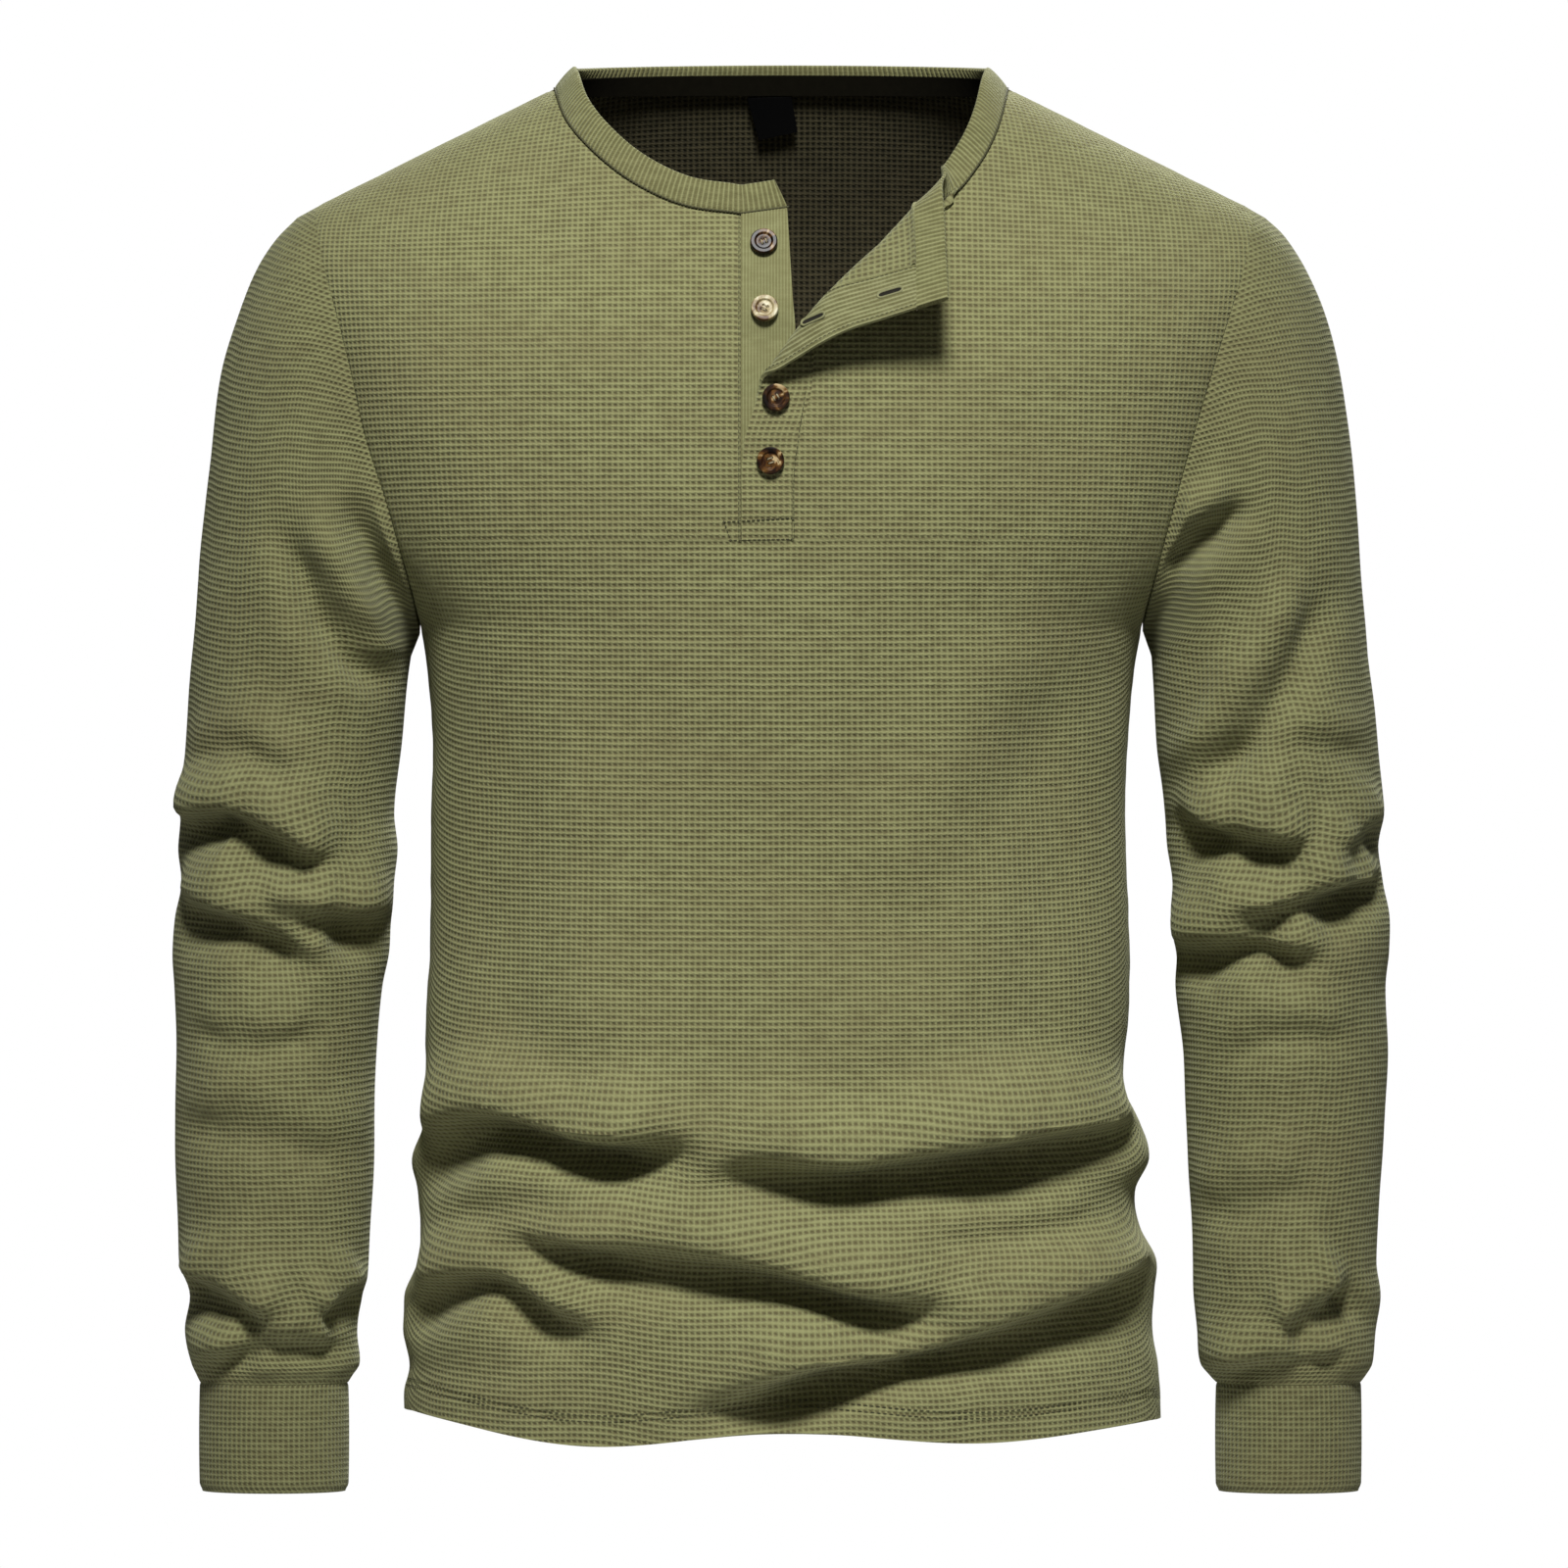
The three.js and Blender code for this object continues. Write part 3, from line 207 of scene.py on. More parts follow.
def smooth_line(points, count):
    """Evenly spaced places on a smooth curve through the points."""
    p = np.array(points, float)
    far = np.r_[0, np.cumsum(np.linalg.norm(np.diff(p, axis=0), axis=1))]
    line = {"at": far, **{str(k): p[:, k] for k in range(p.shape[1])}}
    at = np.linspace(0, far[-1], count * 8)
    fine = np.stack([read(line, "at", at, str(k)) for k in range(p.shape[1])], 1)
    return even(fine, count)


def even(line, count):
    """The same line with evenly spaced points."""
    far = np.r_[0, np.cumsum(np.linalg.norm(np.diff(line, axis=0), axis=1))]
    at = np.linspace(0, far[-1], count)
    return np.stack([np.interp(at, far, line[:, k]) for k in range(line.shape[1])], 1)


def steps(count):
    """Shares from 0 to 1, closer together at both ends, where the seams are."""
    inner = np.arange(1, count)
    return np.r_[0, 0.25, 0.6, inner, count - 0.6, count - 0.25, count] / count


def ripple(x, y, z, size, seed):
    """A soft uneven wave from -1 to 1 over the cloth."""
    total = 0.0
    for k in range(5):
        way = np.array([math.sin(seed + 2.1 * k), math.cos(1.7 * seed + 3.3 * k),
                        math.sin(2.9 * seed - 1.3 * k)])
        way /= np.linalg.norm(way)
        wave = 2 * math.pi / (size * (0.7 + 0.17 * k))
        total = total + np.sin((x * way[0] + y * way[1] + z * way[2]) * wave + 5 * k)
    return total / 5


def fold_relief(folds, x, z):
    """How far the folds push the cloth out and down at a place in the front view."""
    out, down = np.zeros_like(x), np.zeros_like(x)
    for wide, deep, hang, path in folds:
        line = smooth_line(path, 36)
        nearest, above, along = np.full(x.shape, 1e9), np.zeros_like(x), np.zeros_like(x)
        way = 1 if path[-1][0] > path[0][0] else -1
        for i in range(len(line) - 1):
            a, d = line[i], line[i + 1] - line[i]
            t = np.clip(((x - a[0]) * d[0] + (z - a[1]) * d[1]) / (d @ d), 0, 1)
            far = np.hypot(x - a[0] - d[0] * t, z - a[1] - d[1] * t)
            side = np.sign(d[0] * (z - a[1]) - d[1] * (x - a[0])) * way
            closer = far < nearest
            nearest = np.where(closer, far, nearest)
            above = np.where(closer, far * side, above)
            along = np.where(closer, (i + t) / (len(line) - 1), along)
        full = ease(along / 0.28) * ease((1 - along) / 0.28)
        uneven = 1 + 0.16 * np.sin(along * 9.0 + wide) + 0.08 * np.sin(along * 23.0 + deep)
        s = above / (wide * (1 + 0.12 * np.sin(along * 12.0 + deep)))

        def bump(centre, below, above):
            return np.exp(-(((s - centre) / np.where(s < centre, below, above)) ** 2))
        if hang < 2:
            out += full * uneven * deep * (0.85 * bump(1.55, 1.05, 1.05) + 0.3 * bump(-1.9, 1.3, 1.3)
                                           - bump(-0.1, 0.85, 0.85))
        else:
            out += full * uneven * deep * (0.8 * bump(1.6, 1.0, 2.3) - bump(-0.6, 1.9, 1.0))
        down += full * uneven * hang * bump(1.3, 1.0, 1.5)
    return out, down


def relief(front, back, x, z, facing):
    """Front and back folds together: facing is -1 where the cloth faces the front, 1 behind."""
    to_front, edge = ease(0.5 - facing), mix(0.15, 1, ease(np.abs(facing) / 0.5))
    front_out, front_down = fold_relief(front, x, z)
    back_out, back_down = fold_relief(back, x, z)
    return edge * mix(back_out, front_out, to_front), edge * mix(back_down, front_down, to_front)


def shoulder_height(x):
    """Height of the shoulder seam; inside the neck the cloth's drawn top goes on in a bow."""
    out = np.abs(x)
    return np.where(out >= NECK_SIDE, NECK_SIDE_HEIGHT - (out - NECK_SIDE) * SHOULDER_SLOPE,
                    NECK_SIDE_HEIGHT + NECK_RISE * (1 - (out / NECK_SIDE) ** 2))


def side_at(x, z):
    """Half width of the body at a height, on the side that x's sign names."""
    return np.where(np.asarray(x) < 0, read(SIDES, "z", z, "left"), read(SIDES, "z", z, "right"))


def body(side, x, z, folded=True):
    """Places on the outer face of the body: side is -1 in front and 1 behind."""
    x, z = np.broadcast_arrays(np.asarray(x, float), np.asarray(z, float))
    depth = read(DEPTHS, "z", z, "front" if side < 0 else "back")
    rise = np.clip((z - ARMPIT_HEIGHT) / ARM_FORWARD, 0, 1)
    forward = ARM_FORWARD * np.sqrt(1 - (1 - rise) ** 2)
    power = CHEST_SQUARE
    half = side_at(x, z) / (1 - (forward / depth) ** power) ** (1 / power)
    over = np.clip((z - SHOULDER_ROUND_FROM) / (shoulder_height(x) - SHOULDER_ROUND_FROM), 0, 1)
    cap = np.sqrt(np.maximum(0, 1 - over * over)) * (over < 0.999999)
    across = np.minimum(1, np.abs(x) / half)
    stand = (1 - across ** power) ** (1 / power)
    turn = unit(np.stack([np.sign(x) * across ** (power - 1) / half,
                          side * stand ** (power - 1) / depth], -1))
    y = side * depth * stand * cap
    if not folded:
        return np.stack([x, y, z], -1)
    out, down = relief(FRONT_FOLDS, BACK_FOLDS, x, z, turn[..., 1])
    fade = ease(np.abs(turn[..., 1]) / 0.5) * ease((-40 - z) / 120)
    out = out + fade * (1.3 * ripple(x, y, z, 150, 1.0) + 0.7 * ripple(x, y, z, 64, 2.0))
    return np.stack([x + turn[..., 0] * out, y + turn[..., 1] * out, z - down], -1)


def cloth_places(side, x, z):
    """Distance over the cloth from the centre line and from the slot's foot, in mm."""
    share = np.linspace(0, 1, 25)
    row = body(side, x[..., None] * share, z[..., None] + 0 * share, False)
    u = np.linalg.norm(np.diff(row, axis=-2), axis=-1).sum(-1) * np.sign(x)
    part = x / side_at(x, z)
    heights = mix(SLOT_BOTTOM, z[..., None], share)
    column = body(side, part[..., None] * side_at(part[..., None], heights), heights, False)[..., 1:]
    v = np.linalg.norm(np.diff(column, axis=-2), axis=-1).sum(-1) * np.sign(z - SLOT_BOTTOM)
    return np.stack([u, v], -1)


# The turned-out corner: distance along the fold line and distance of cloth across it.
FOLD_BASE = np.array([-12.4, -146.3])
FOLD_ALONG = np.array([0.674, 0.739])
FOLD_ACROSS = np.array([-0.739, 0.674])
FOLD_ANGLE = 2.75
FOLD_OPENS_AT, FOLD_ENDS_AT = 112.0, 150.0
FLAP_EDGE_START = np.array([0.5, 2.0])
FLAP_EDGE_WAY = np.array([0.763, 0.647])
FLAP_IN_WAY = np.array([0.647, -0.763])
FLAP_EDGE_LONG = 90.0
SEAM_MEETS_FOLD = (-FLAP_EDGE_START[1] - PLACKET_WIDE * FLAP_IN_WAY[1]) / FLAP_EDGE_WAY[1]
BAND_MEETS_FOLD = 126.0


def fold_radius(a):
    return mix(3, 8, ease(a / 50))


def fold_start(a):
    """Where the cloth begins to turn over, seen from the front, at distance a along the fold line."""
    radius = fold_radius(a)
    bow = 2.5 * np.sin(math.pi * np.clip((a - 10) / 75, 0, 1)) - radius - 2.0
    return FOLD_BASE + a[..., None] * FOLD_ALONG + bow[..., None] * FOLD_ACROSS


def flap(a, c):
    """Places on the turned-out corner: a along the fold line, c of cloth across it."""
    a, c = np.broadcast_arrays(np.asarray(a, float), np.asarray(c, float))
    at = fold_start(a)
    flat_at = at + np.minimum(c, 0)[..., None] * FOLD_ACROSS
    flat = body(-1, flat_at[..., 0], flat_at[..., 1])
    start = body(-1, at[..., 0], at[..., 1])
    across = unit(body(-1, at[..., 0] + FOLD_ACROSS[0], at[..., 1] + FOLD_ACROSS[1]) - start)
    along = unit(body(-1, at[..., 0] + FOLD_ALONG[0], at[..., 1] + FOLD_ALONG[1]) - start)
    away = -unit(np.cross(along, across))
    away = np.where(away[..., 1:2] > 0, -away, away)
    radius = fold_radius(a)
    full = FOLD_ANGLE * (1 - ease((a - FOLD_OPENS_AT) / (FOLD_ENDS_AT - FOLD_OPENS_AT)))
    turned = np.minimum(c / radius, full)
    rest = np.maximum(0, c - radius * full)
    wave = 1.2 * np.sin(a * 0.075 + 0.6) * ease(rest / 12)
    lifted = (start + across * (radius * np.sin(turned) + rest * np.cos(full))[..., None]
              + away * (radius * (1 - np.cos(turned)) + rest * np.sin(full) + wave)[..., None])
    return np.where((c <= 0)[..., None], flat, lifted)


def placket_place(along, across):
    """A place on the buttonhole placket, as distances along and across the fold line."""
    along, across = np.broadcast_arrays(np.asarray(along, float), np.asarray(across, float))
    at = FLAP_EDGE_START + along[..., None] * FLAP_EDGE_WAY + across[..., None] * FLAP_IN_WAY
    return at[..., 0], at[..., 1]


CORNER = placket_place(FLAP_EDGE_LONG, PLACKET_WIDE)
FLAP_BAND_SEAM = [(BAND_MEETS_FOLD, 0), (117, 9), (107, 19), (96, 30),
                  tuple(float(value) for value in CORNER)]


# ---- pieces of cloth ----
class Cloth:
    """The outer face of one cut piece: points, faces, and each point's place on the flat cloth."""

    def __init__(self, name, thick, turned=False):
        self.name, self.thick, self.turned = name, thick, turned
        self.points, self.places, self.faces = np.zeros((0, 3)), np.zeros((0, 2)), np.zeros((0, 4), int)

    def grid(self, points, places, known=None):
        """Adds a grid's points; the ones already known keep their numbers."""
        ids = np.full(points.shape[:2], -1) if known is None else known
        new = ids < 0
        ids[new] = len(self.points) + np.arange(new.sum())
        self.points = np.vstack([self.points, points[new]])
        self.places = np.vstack([self.places, places[new]])
        return ids

    def skin(self, ids, closed=False):
        """Faces over a grid whose rows run upwards, each from left to right seen from outside."""
        if closed:
            ids = np.hstack([ids, ids[:, :1]])
        quads = np.stack([ids[:-1, :-1], ids[:-1, 1:], ids[1:, 1:], ids[1:, :-1]], -1).reshape(-1, 4)
        if self.turned:
            quads = quads[:, ::-1]
        self.faces = np.vstack([self.faces, quads])

    def normals(self):
        p = self.points[self.faces]
        turn = np.cross(p[:, 2] - p[:, 0], p[:, 3] - p[:, 1])
        total = np.zeros_like(self.points)
        for k in range(4):
            np.add.at(total, self.faces[:, k], turn)
        return unit(total)

    def border(self):
        """The open edges, each in its face's direction."""
        quads = self.faces
        edges = np.vstack([quads[:, [k, (k + 1) % 4]] for k in range(4)])
        edges = edges[edges[:, 0] != edges[:, 1]]
        known = {(a, b) for a, b in edges.tolist()}
        return np.array([(a, b) for a, b in edges.tolist() if (b, a) not in known])


def sink_seams(cloth, lines, deep=0.9, wide=2.2, pucker=0.5):
    """Draws the cloth in along its seams, unevenly, as the thread does."""
    lengths = [np.linalg.norm(np.diff(line, axis=0), axis=1).sum() for line in lines]
    dense = np.vstack([even(line, int(length / 0.8) + 2) for line, length in zip(lines, lengths)])
    tree = KDTree(len(dense))
    for i, point in enumerate(dense):
        tree.insert(point, i)
    tree.balance()
    near = np.array([tree.find(point)[2] for point in cloth.points])
    x, y, z = cloth.points.T
    pull = deep * np.exp(-((near / wide) ** 2))
    pull = pull + pucker * ripple(x, y, z, 19, 3.0) * np.exp(-((near - 5) / 5) ** 2)
    cloth.points = cloth.points - cloth.normals() * pull[:, None]


def new_piece(name, points, faces, face_slots, paints, places=None, sharp=50):
    mesh = bpy.data.meshes.new(name)
    mesh.from_pydata((np.asarray(points) * 0.001).tolist(), [], [tuple(dict.fromkeys(f)) for f in faces])
    for paint in paints:
        mesh.materials.append(paint)
    mesh.polygons.foreach_set("material_index", np.asarray(face_slots, np.int32))
    mesh.polygons.foreach_set("use_smooth", np.ones(len(mesh.polygons), bool))
    if places is not None:
        layer = mesh.attributes.new("cloth_place", "FLOAT_VECTOR", "POINT")
        flat = np.zeros((len(points), 3), np.float32)
        flat[:, :2] = np.asarray(places) * 0.001
        layer.data.foreach_set("vector", flat.ravel())
    mesh.set_sharp_from_angle(angle=math.radians(sharp))
    mesh.validate()
    mesh.update()
    made = bpy.data.objects.new(name, mesh)
    bpy.context.scene.collection.objects.link(made)
    return made


def tube_faces(count, around, first=0, turned=False):
    """Faces of a closed tube with that many rings of points, and a lid on each end."""
    ids = first + np.arange(count * around).reshape(count, around)
    closed = np.hstack([ids, ids[:, :1]])
    walls = np.stack([closed[:-1, :-1], closed[1:, :-1], closed[1:, 1:], closed[:-1, 1:]], -1)
    faces = walls.reshape(-1, 4).tolist() + [ids[0].tolist(), ids[-1, ::-1].tolist()]
    return [[face[0]] + face[:0:-1] for face in faces] if turned else faces


def sew(cloth, outside, inside):
    """Closes a piece into a wall of its thickness, and makes it a Blender piece."""
    count = len(cloth.points)
    inner = cloth.points - cloth.normals() * cloth.thick
    edges = cloth.border()
    rim = np.stack([edges[:, 1], edges[:, 0], edges[:, 0] + count, edges[:, 1] + count], -1)
    faces = np.vstack([cloth.faces, cloth.faces[:, ::-1] + count, rim])
    slots = np.r_[np.zeros(len(cloth.faces)), np.ones(len(cloth.faces)), np.zeros(len(rim))]
    return new_piece(cloth.name, np.vstack([cloth.points, inner]), faces.tolist(), slots,
                     [outside, inside], np.vstack([cloth.places, cloth.places]))


def along_rows(points):
    """Distance along each row from its first point."""
    far = np.linalg.norm(np.diff(points, axis=1), axis=2)
    return np.hstack([np.zeros((len(points), 1)), np.cumsum(far, axis=1)])


def along_columns(points):
    far = np.linalg.norm(np.diff(points, axis=0), axis=2)
    return np.vstack([np.zeros((1, points.shape[1])), np.cumsum(far, axis=0)])


def calm_places(points, plain):
    """Distances across and up the cloth; its rows of knit stay nearly straight through the folds."""
    across, up = (mix(measure(plain), measure(points), share)
                  for measure, share in ((along_rows, 0.2), (along_columns, 0.08)))
    return across, up


def all_round(grid):
    return np.concatenate([grid, grid[:, :1]], 1)


def from_seam(far):
    """Distance round a tube from its seam, whichever way is shorter."""
    return np.minimum(far[:, :-1], far[:, -1:] - far[:, :-1])


def between(low, high, left, right, across, up):
    """Places inside four edges of the front view, as a grid."""
    a, b = across[None, :, None], up[:, None, None]
    flat = low[None] * (1 - b) + high[None] * b
    start, end = flat[:, :1], flat[:, -1:]
    return flat + (1 - a) * (left[:, None] - start) + a * (right[:, None] - end)


lower_heights = np.r_[np.linspace(HEM_HEIGHT, -500, 62), np.linspace(-500, SLOT_BOTTOM, 84)[1:]]
up_steps = steps(66)
PANEL_COLUMNS = 60
SHOULDER_SHARE = 0.52
BACK_SHOULDER_SHARE = 0.29


def hem_shift(hem, x, z):
    """How far a place is moved so that the cloth's foot follows the hem's line."""
    return (read(hem, "x", x, "z") - HEM_HEIGHT) * np.clip(1 - (z - HEM_HEIGHT) / 45, 0, 1)


def lower_rows(side, hem, shares):
    """The panel below the slot's foot: its points, and their distances across and up the cloth."""
    z = np.repeat(lower_heights[:, None], len(shares), 1)
    which = np.sign(shares)[None] + 0 * z
    z = z + hem_shift(hem, shares[None] * side_at(which, z), z)
    x = shares[None] * side_at(which, z)
    points = body(side, x, z)
    return points, *calm_places(points, body(side, x, z, False))


def slot_row(shares):
    return np.stack([shares * side_at(np.sign(shares), SLOT_BOTTOM), SLOT_BOTTOM + 0 * shares], 1)


def armhole_edge(sign):
    end = float(side_at(sign, 0))
    z = mix(SLOT_BOTTOM, float(shoulder_height(end)), up_steps)
    x = side_at(sign, z)
    x[-1] = end
    return np.stack([sign * x, z], 1)


def shoulder_line(sign, count):
    x = sign * np.linspace(float(side_at(sign, 0)), NECK_SIDE, count)
    return np.stack([x, shoulder_height(x)], 1)


shoulder_count = int(PANEL_COLUMNS * SHOULDER_SHARE)
columns = steps(PANEL_COLUMNS)


def top_edge(first, second, shares):
    """Two lines end to end, each with evenly spread points, meeting at a column."""
    split = shoulder_count / PANEL_COLUMNS
    spot = np.argmin(np.abs(shares - split))

    def spread(line, count):
        given, wanted = np.linspace(0, 1, len(line)), np.linspace(0, 1, count)
        return np.stack([np.interp(wanted, given, line[:, k]) for k in range(2)], 1)
    return np.vstack([spread(first, spot + 1), spread(second, len(shares) - spot)[1:]]), spot


def make_front():
    front = Cloth("front_panel", CLOTH)
    slot_left_side, slot_right_side = float(side_at(-1, SLOT_BOTTOM)), float(side_at(1, SLOT_BOTTOM))
    left_inner = 2 / math.pi * math.asin(-SLOT_LEFT / slot_left_side)
    right_inner = 2 / math.pi * math.asin(SLOT_RIGHT / slot_right_side)
    left_shares = -np.sin(math.pi / 2 * mix(1, left_inner, columns))
    right_shares = np.sin(math.pi / 2 * mix(right_inner, 1, columns))
    middle = np.linspace(SLOT_LEFT, SLOT_RIGHT, 9)[1:-1]
    middle = middle / np.where(middle < 0, slot_left_side, slot_right_side)
    shares = np.r_[left_shares, middle, right_shares]
    centre = len(left_shares) + 4
    points, u, v = lower_rows(-1, FRONT_HEM, shares)
    ids = front.grid(points, np.stack([u - u[:, centre:centre + 1], v - v[-1:]], -1))
    front.skin(ids)

    def block(low_ids, low_shares, high, left, right):
        places = between(slot_row(low_shares), high, left, right, columns, up_steps)
        known = np.full(places.shape[:2], -1)
        known[0] = low_ids
        flat_places = cloth_places(-1, places[..., 0], places[..., 1])
        return front.grid(body(-1, places[..., 0], places[..., 1]), flat_places, known)

    left_high, left_spot = top_edge(shoulder_line(-1, 30), smooth_line(LEFT_NECKLINE, 60), columns)
    slot_edge = np.stack([0 * up_steps + SLOT_LEFT, mix(SLOT_BOTTOM, SLOT_TOP, up_steps)], 1)
    left_ids = block(ids[-1, :len(columns)], left_shares, left_high, armhole_edge(-1), slot_edge)
    front.skin(left_ids)

    # The right side's inner edge: beside the slot, then round to the fold and along it.
    straight_to, seam_from, fold_from = 0.2, 0.4, 0.635
    foot = np.array([SLOT_RIGHT, -186.0])
    meet_along, meet_across = (float(value) for value in placket_place(SEAM_MEETS_FOLD, PLACKET_WIDE))
    first_along, first_across = placket_place(0, PLACKET_WIDE)
    first = fold_start(np.atleast_1d(first_along))[0] + min(0, float(first_across)) * FOLD_ACROSS
    opening = np.zeros((len(up_steps), 2))
    low_part, high_part = up_steps <= straight_to, up_steps > fold_from
    mid_part = ~low_part & ~high_part
    up_slot = (up_steps[low_part] / straight_to)[:, None]
    opening[low_part] = mix(np.array([SLOT_RIGHT, SLOT_BOTTOM]), foot, up_slot)
    t = (up_steps[mid_part] - seam_from) / (fold_from - seam_from)
    a, c = placket_place(SEAM_MEETS_FOLD * np.clip(t, 0, 1), PLACKET_WIDE)
    beside_seam = fold_start(a) + np.minimum(0, c)[:, None] * FOLD_ACROSS
    rise = ((up_steps[mid_part] - straight_to) / (seam_from - straight_to))[:, None]
    opening[mid_part] = np.where((t < 0)[:, None], mix(foot, first, np.clip(rise, 0, 1)), beside_seam)
    up_fold = (up_steps[high_part] - fold_from) / (1 - fold_from)
    opening[high_part] = fold_start(mix(meet_along, BAND_MEETS_FOLD, up_fold))
    top = smooth_line([tuple(opening[-1])] + RIGHT_NECKLINE, 60)
    right_high, right_spot = top_edge(top, shoulder_line(1, 30)[::-1], 1 - columns[::-1])
    right_ids = block(ids[-1, -len(columns):], right_shares, right_high, opening, armhole_edge(1))
    front.skin(right_ids)

    # The corner that is turned out between the fold, the placket's seam and the band's.
    rows = np.flatnonzero(high_part)
    rows = np.r_[rows[0] - 1, rows]
    share = np.clip((up_steps[rows] - fold_from) / (1 - fold_from), 0, 1)[:, None]
    seam = smooth_line(FLAP_BAND_SEAM, 22)
    a, c = mix(meet_along, seam[None, :, 0], share), mix(meet_across, seam[None, :, 1], share)
    known = np.full(a.shape, -1)
    known[:, 0] = right_ids[rows, 0]
    known[0, :] = right_ids[rows[0], 0]
    way_x, way_z = FOLD_ALONG
    corner = front.grid(flap(a, c), np.stack([c * way_x + a * way_z, a * way_x - c * way_z], -1), known)
    front.skin(corner[:, ::-1])
    p = front.points
    return front, {
        "left": np.vstack([p[ids[:, 0]], p[left_ids[1:, 0]]]),
        "right": np.vstack([p[ids[:, -1]], p[right_ids[1:, -1]]]),
        "left_shoulder": p[left_ids[-1, :left_spot + 1]],
        "right_shoulder": p[right_ids[-1, right_spot:]],
        "left_neck": p[left_ids[-1, left_spot:]],
        "right_neck": p[right_ids[-1, :right_spot + 1]],
        "corner_neck": p[corner[-1]],
        "slot": p[left_ids[:, -1]],
        "opening": p[right_ids[:, 0]],
    }


def make_back():
    back = Cloth("back_panel", CLOTH, True)
    shares = np.sin(math.pi / 2 * (2 * steps(136) - 1))
    centre = len(shares) // 2
    points, u, v = lower_rows(1, BACK_HEM, shares)
    ids = back.grid(points, np.stack([u - u[:, centre:centre + 1], v - v[-1:]], -1))
    back.skin(ids)
    end = np.flatnonzero(np.linspace(0, 1, len(shares)) >= BACK_SHOULDER_SHARE)[0]
    neck_x = -NECK_SIDE * np.cos(math.pi * np.linspace(0, 1, len(shares) - 2 * end))
    neck = np.stack([neck_x, mix(BACK_NECK_HEIGHT, NECK_SIDE_HEIGHT, (neck_x / NECK_SIDE) ** 2)], 1)
    high = np.vstack([shoulder_line(-1, end + 1)[:-1], neck, shoulder_line(1, end + 1)[:-1][::-1]])
    across = np.linspace(0, 1, len(shares))
    places = between(slot_row(shares), high, armhole_edge(-1), armhole_edge(1), across, up_steps)
    known = np.full(places.shape[:2], -1)
    known[0] = ids[-1]
    x, z = places[..., 0], places[..., 1]
    upper = back.grid(body(1, x, z), cloth_places(1, x, z), known)
    back.skin(upper)
    p = back.points
    return back, {
        "left": np.vstack([p[ids[:, 0]], p[upper[1:, 0]]]),
        "right": np.vstack([p[ids[:, -1]], p[upper[1:, -1]]]),
        "neck": p[upper[-1, end:len(shares) - end]],
    }


SLEEVE_HEIGHTS = np.r_[np.linspace(SLEEVE_HANGS_FROM, -600, 128)[1:], np.linspace(-600, SLEEVE_FOOT, 14)[1:]]


def make_sleeve(sign, name, loop):
    """From its armhole loop: shoulder, down the front to the armpit, and up the back."""
    sleeve = Cloth(name, CLOTH, sign > 0)
    side_name = "left" if sign < 0 else "right"
    folds = LEFT_SLEEVE_FOLDS if sign < 0 else RIGHT_SLEEVE_FOLDS
    behind = [(w, d, h, [(-sign * x, z) for x, z in path]) for w, d, h, path in SLEEVE_BACK_FOLDS]
    top, low = loop[0], loop[len(loop) // 2]
    axis = (low - top) * [1, 0, 1]
    side = unit(np.array([-axis[2], 0, axis[0]]))
    start = loop - top
    down0 = start @ axis / (axis @ axis)
    deep0 = loop[:, 1] / ARM_FORWARD
    side0 = start @ side
    angle = np.arctan2(-deep0, 1 - 2 * down0)
    fan = np.array(SLEEVE_FAN)
    fan_at = np.linspace(0, 1, len(fan))
    fan_table = {"t": fan_at, **{str(k): fan[:, k] for k in range(5)}}
    out_name, in_name = side_name + "_out", side_name + "_in"
    t = np.linspace(0, 1, 46)
    fan_columns = [read(fan_table, "t", t, str(k)) for k in range(5)]
    sections = np.stack(fan_columns + [0 * t, ease((t * 7 + 1) / 5)], 1)
    hangs_at = read(SLEEVE_SIZES, "z", SLEEVE_HANGS_FROM, out_name)
    sections[:, 0] += ease((t - 0.7) / 0.3) * (hangs_at - fan[-1, 0])
    z = SLEEVE_HEIGHTS
    out_x, in_x, deep, mid = (read(SLEEVE_SIZES, "z", z, column)
                              for column in (out_name, in_name, "deep", "mid"))
    lower = np.stack([out_x, z, in_x, z, deep, mid, 0 * z + 1], 1)
    sections = np.vstack([sections, lower])
    out_x, out_z, in_x, in_z, deep, mid, rounded = sections.T
    outer = np.stack([sign * out_x, mid, out_z], 1)
    inner = np.stack([sign * in_x, mid, in_z], 1)
    way = inner - outer
    half = np.linalg.norm(way, axis=1) / 2
    r = rounded[:, None]
    down = mix(down0[None], (1 - np.cos(angle))[None] / 2, r)
    depth = mix(deep0[None], -np.sin(angle)[None], r)
    points = outer[:, None] + way[:, None] * down[..., None] + side * (side0[None] * (1 - r))[..., None]
    points[..., 1] += depth * deep[:, None]
    turn = unit(np.stack([-np.cos(angle)[None] / half[:, None], -np.sin(angle)[None] / deep[:, None]], -1))
    near = ease((sections[:, 0] - 232) / 12) * ease((out_z - SLEEVE_FOOT) / 10)
    plain = np.concatenate([loop[None], points])
    x, y, zz = points[..., 0], points[..., 1], points[..., 2]
    out, drop = relief(folds, behind, x, zz, turn[..., 1])
    out = out + 1.0 * ripple(x, y, zz, 90, 4.0 + sign) + 0.5 * ripple(x, y, zz, 42, 6.0 + sign)
    out, drop = out * near[:, None], drop * near[:, None]
    points = points + (way / (2 * half[:, None]))[:, None] * (turn[..., 0] * out)[..., None]
    points[..., 1] += turn[..., 1] * out
    points[..., 2] -= drop
    points = np.concatenate([loop[None], points])
    far, v = calm_places(all_round(points), all_round(plain))
    v = v[:, :-1]
    ids = sleeve.grid(points, np.stack([from_seam(far), v[-1:] - v], -1))
    sleeve.skin(ids[::-1], closed=True)
    return sleeve, points[-1]


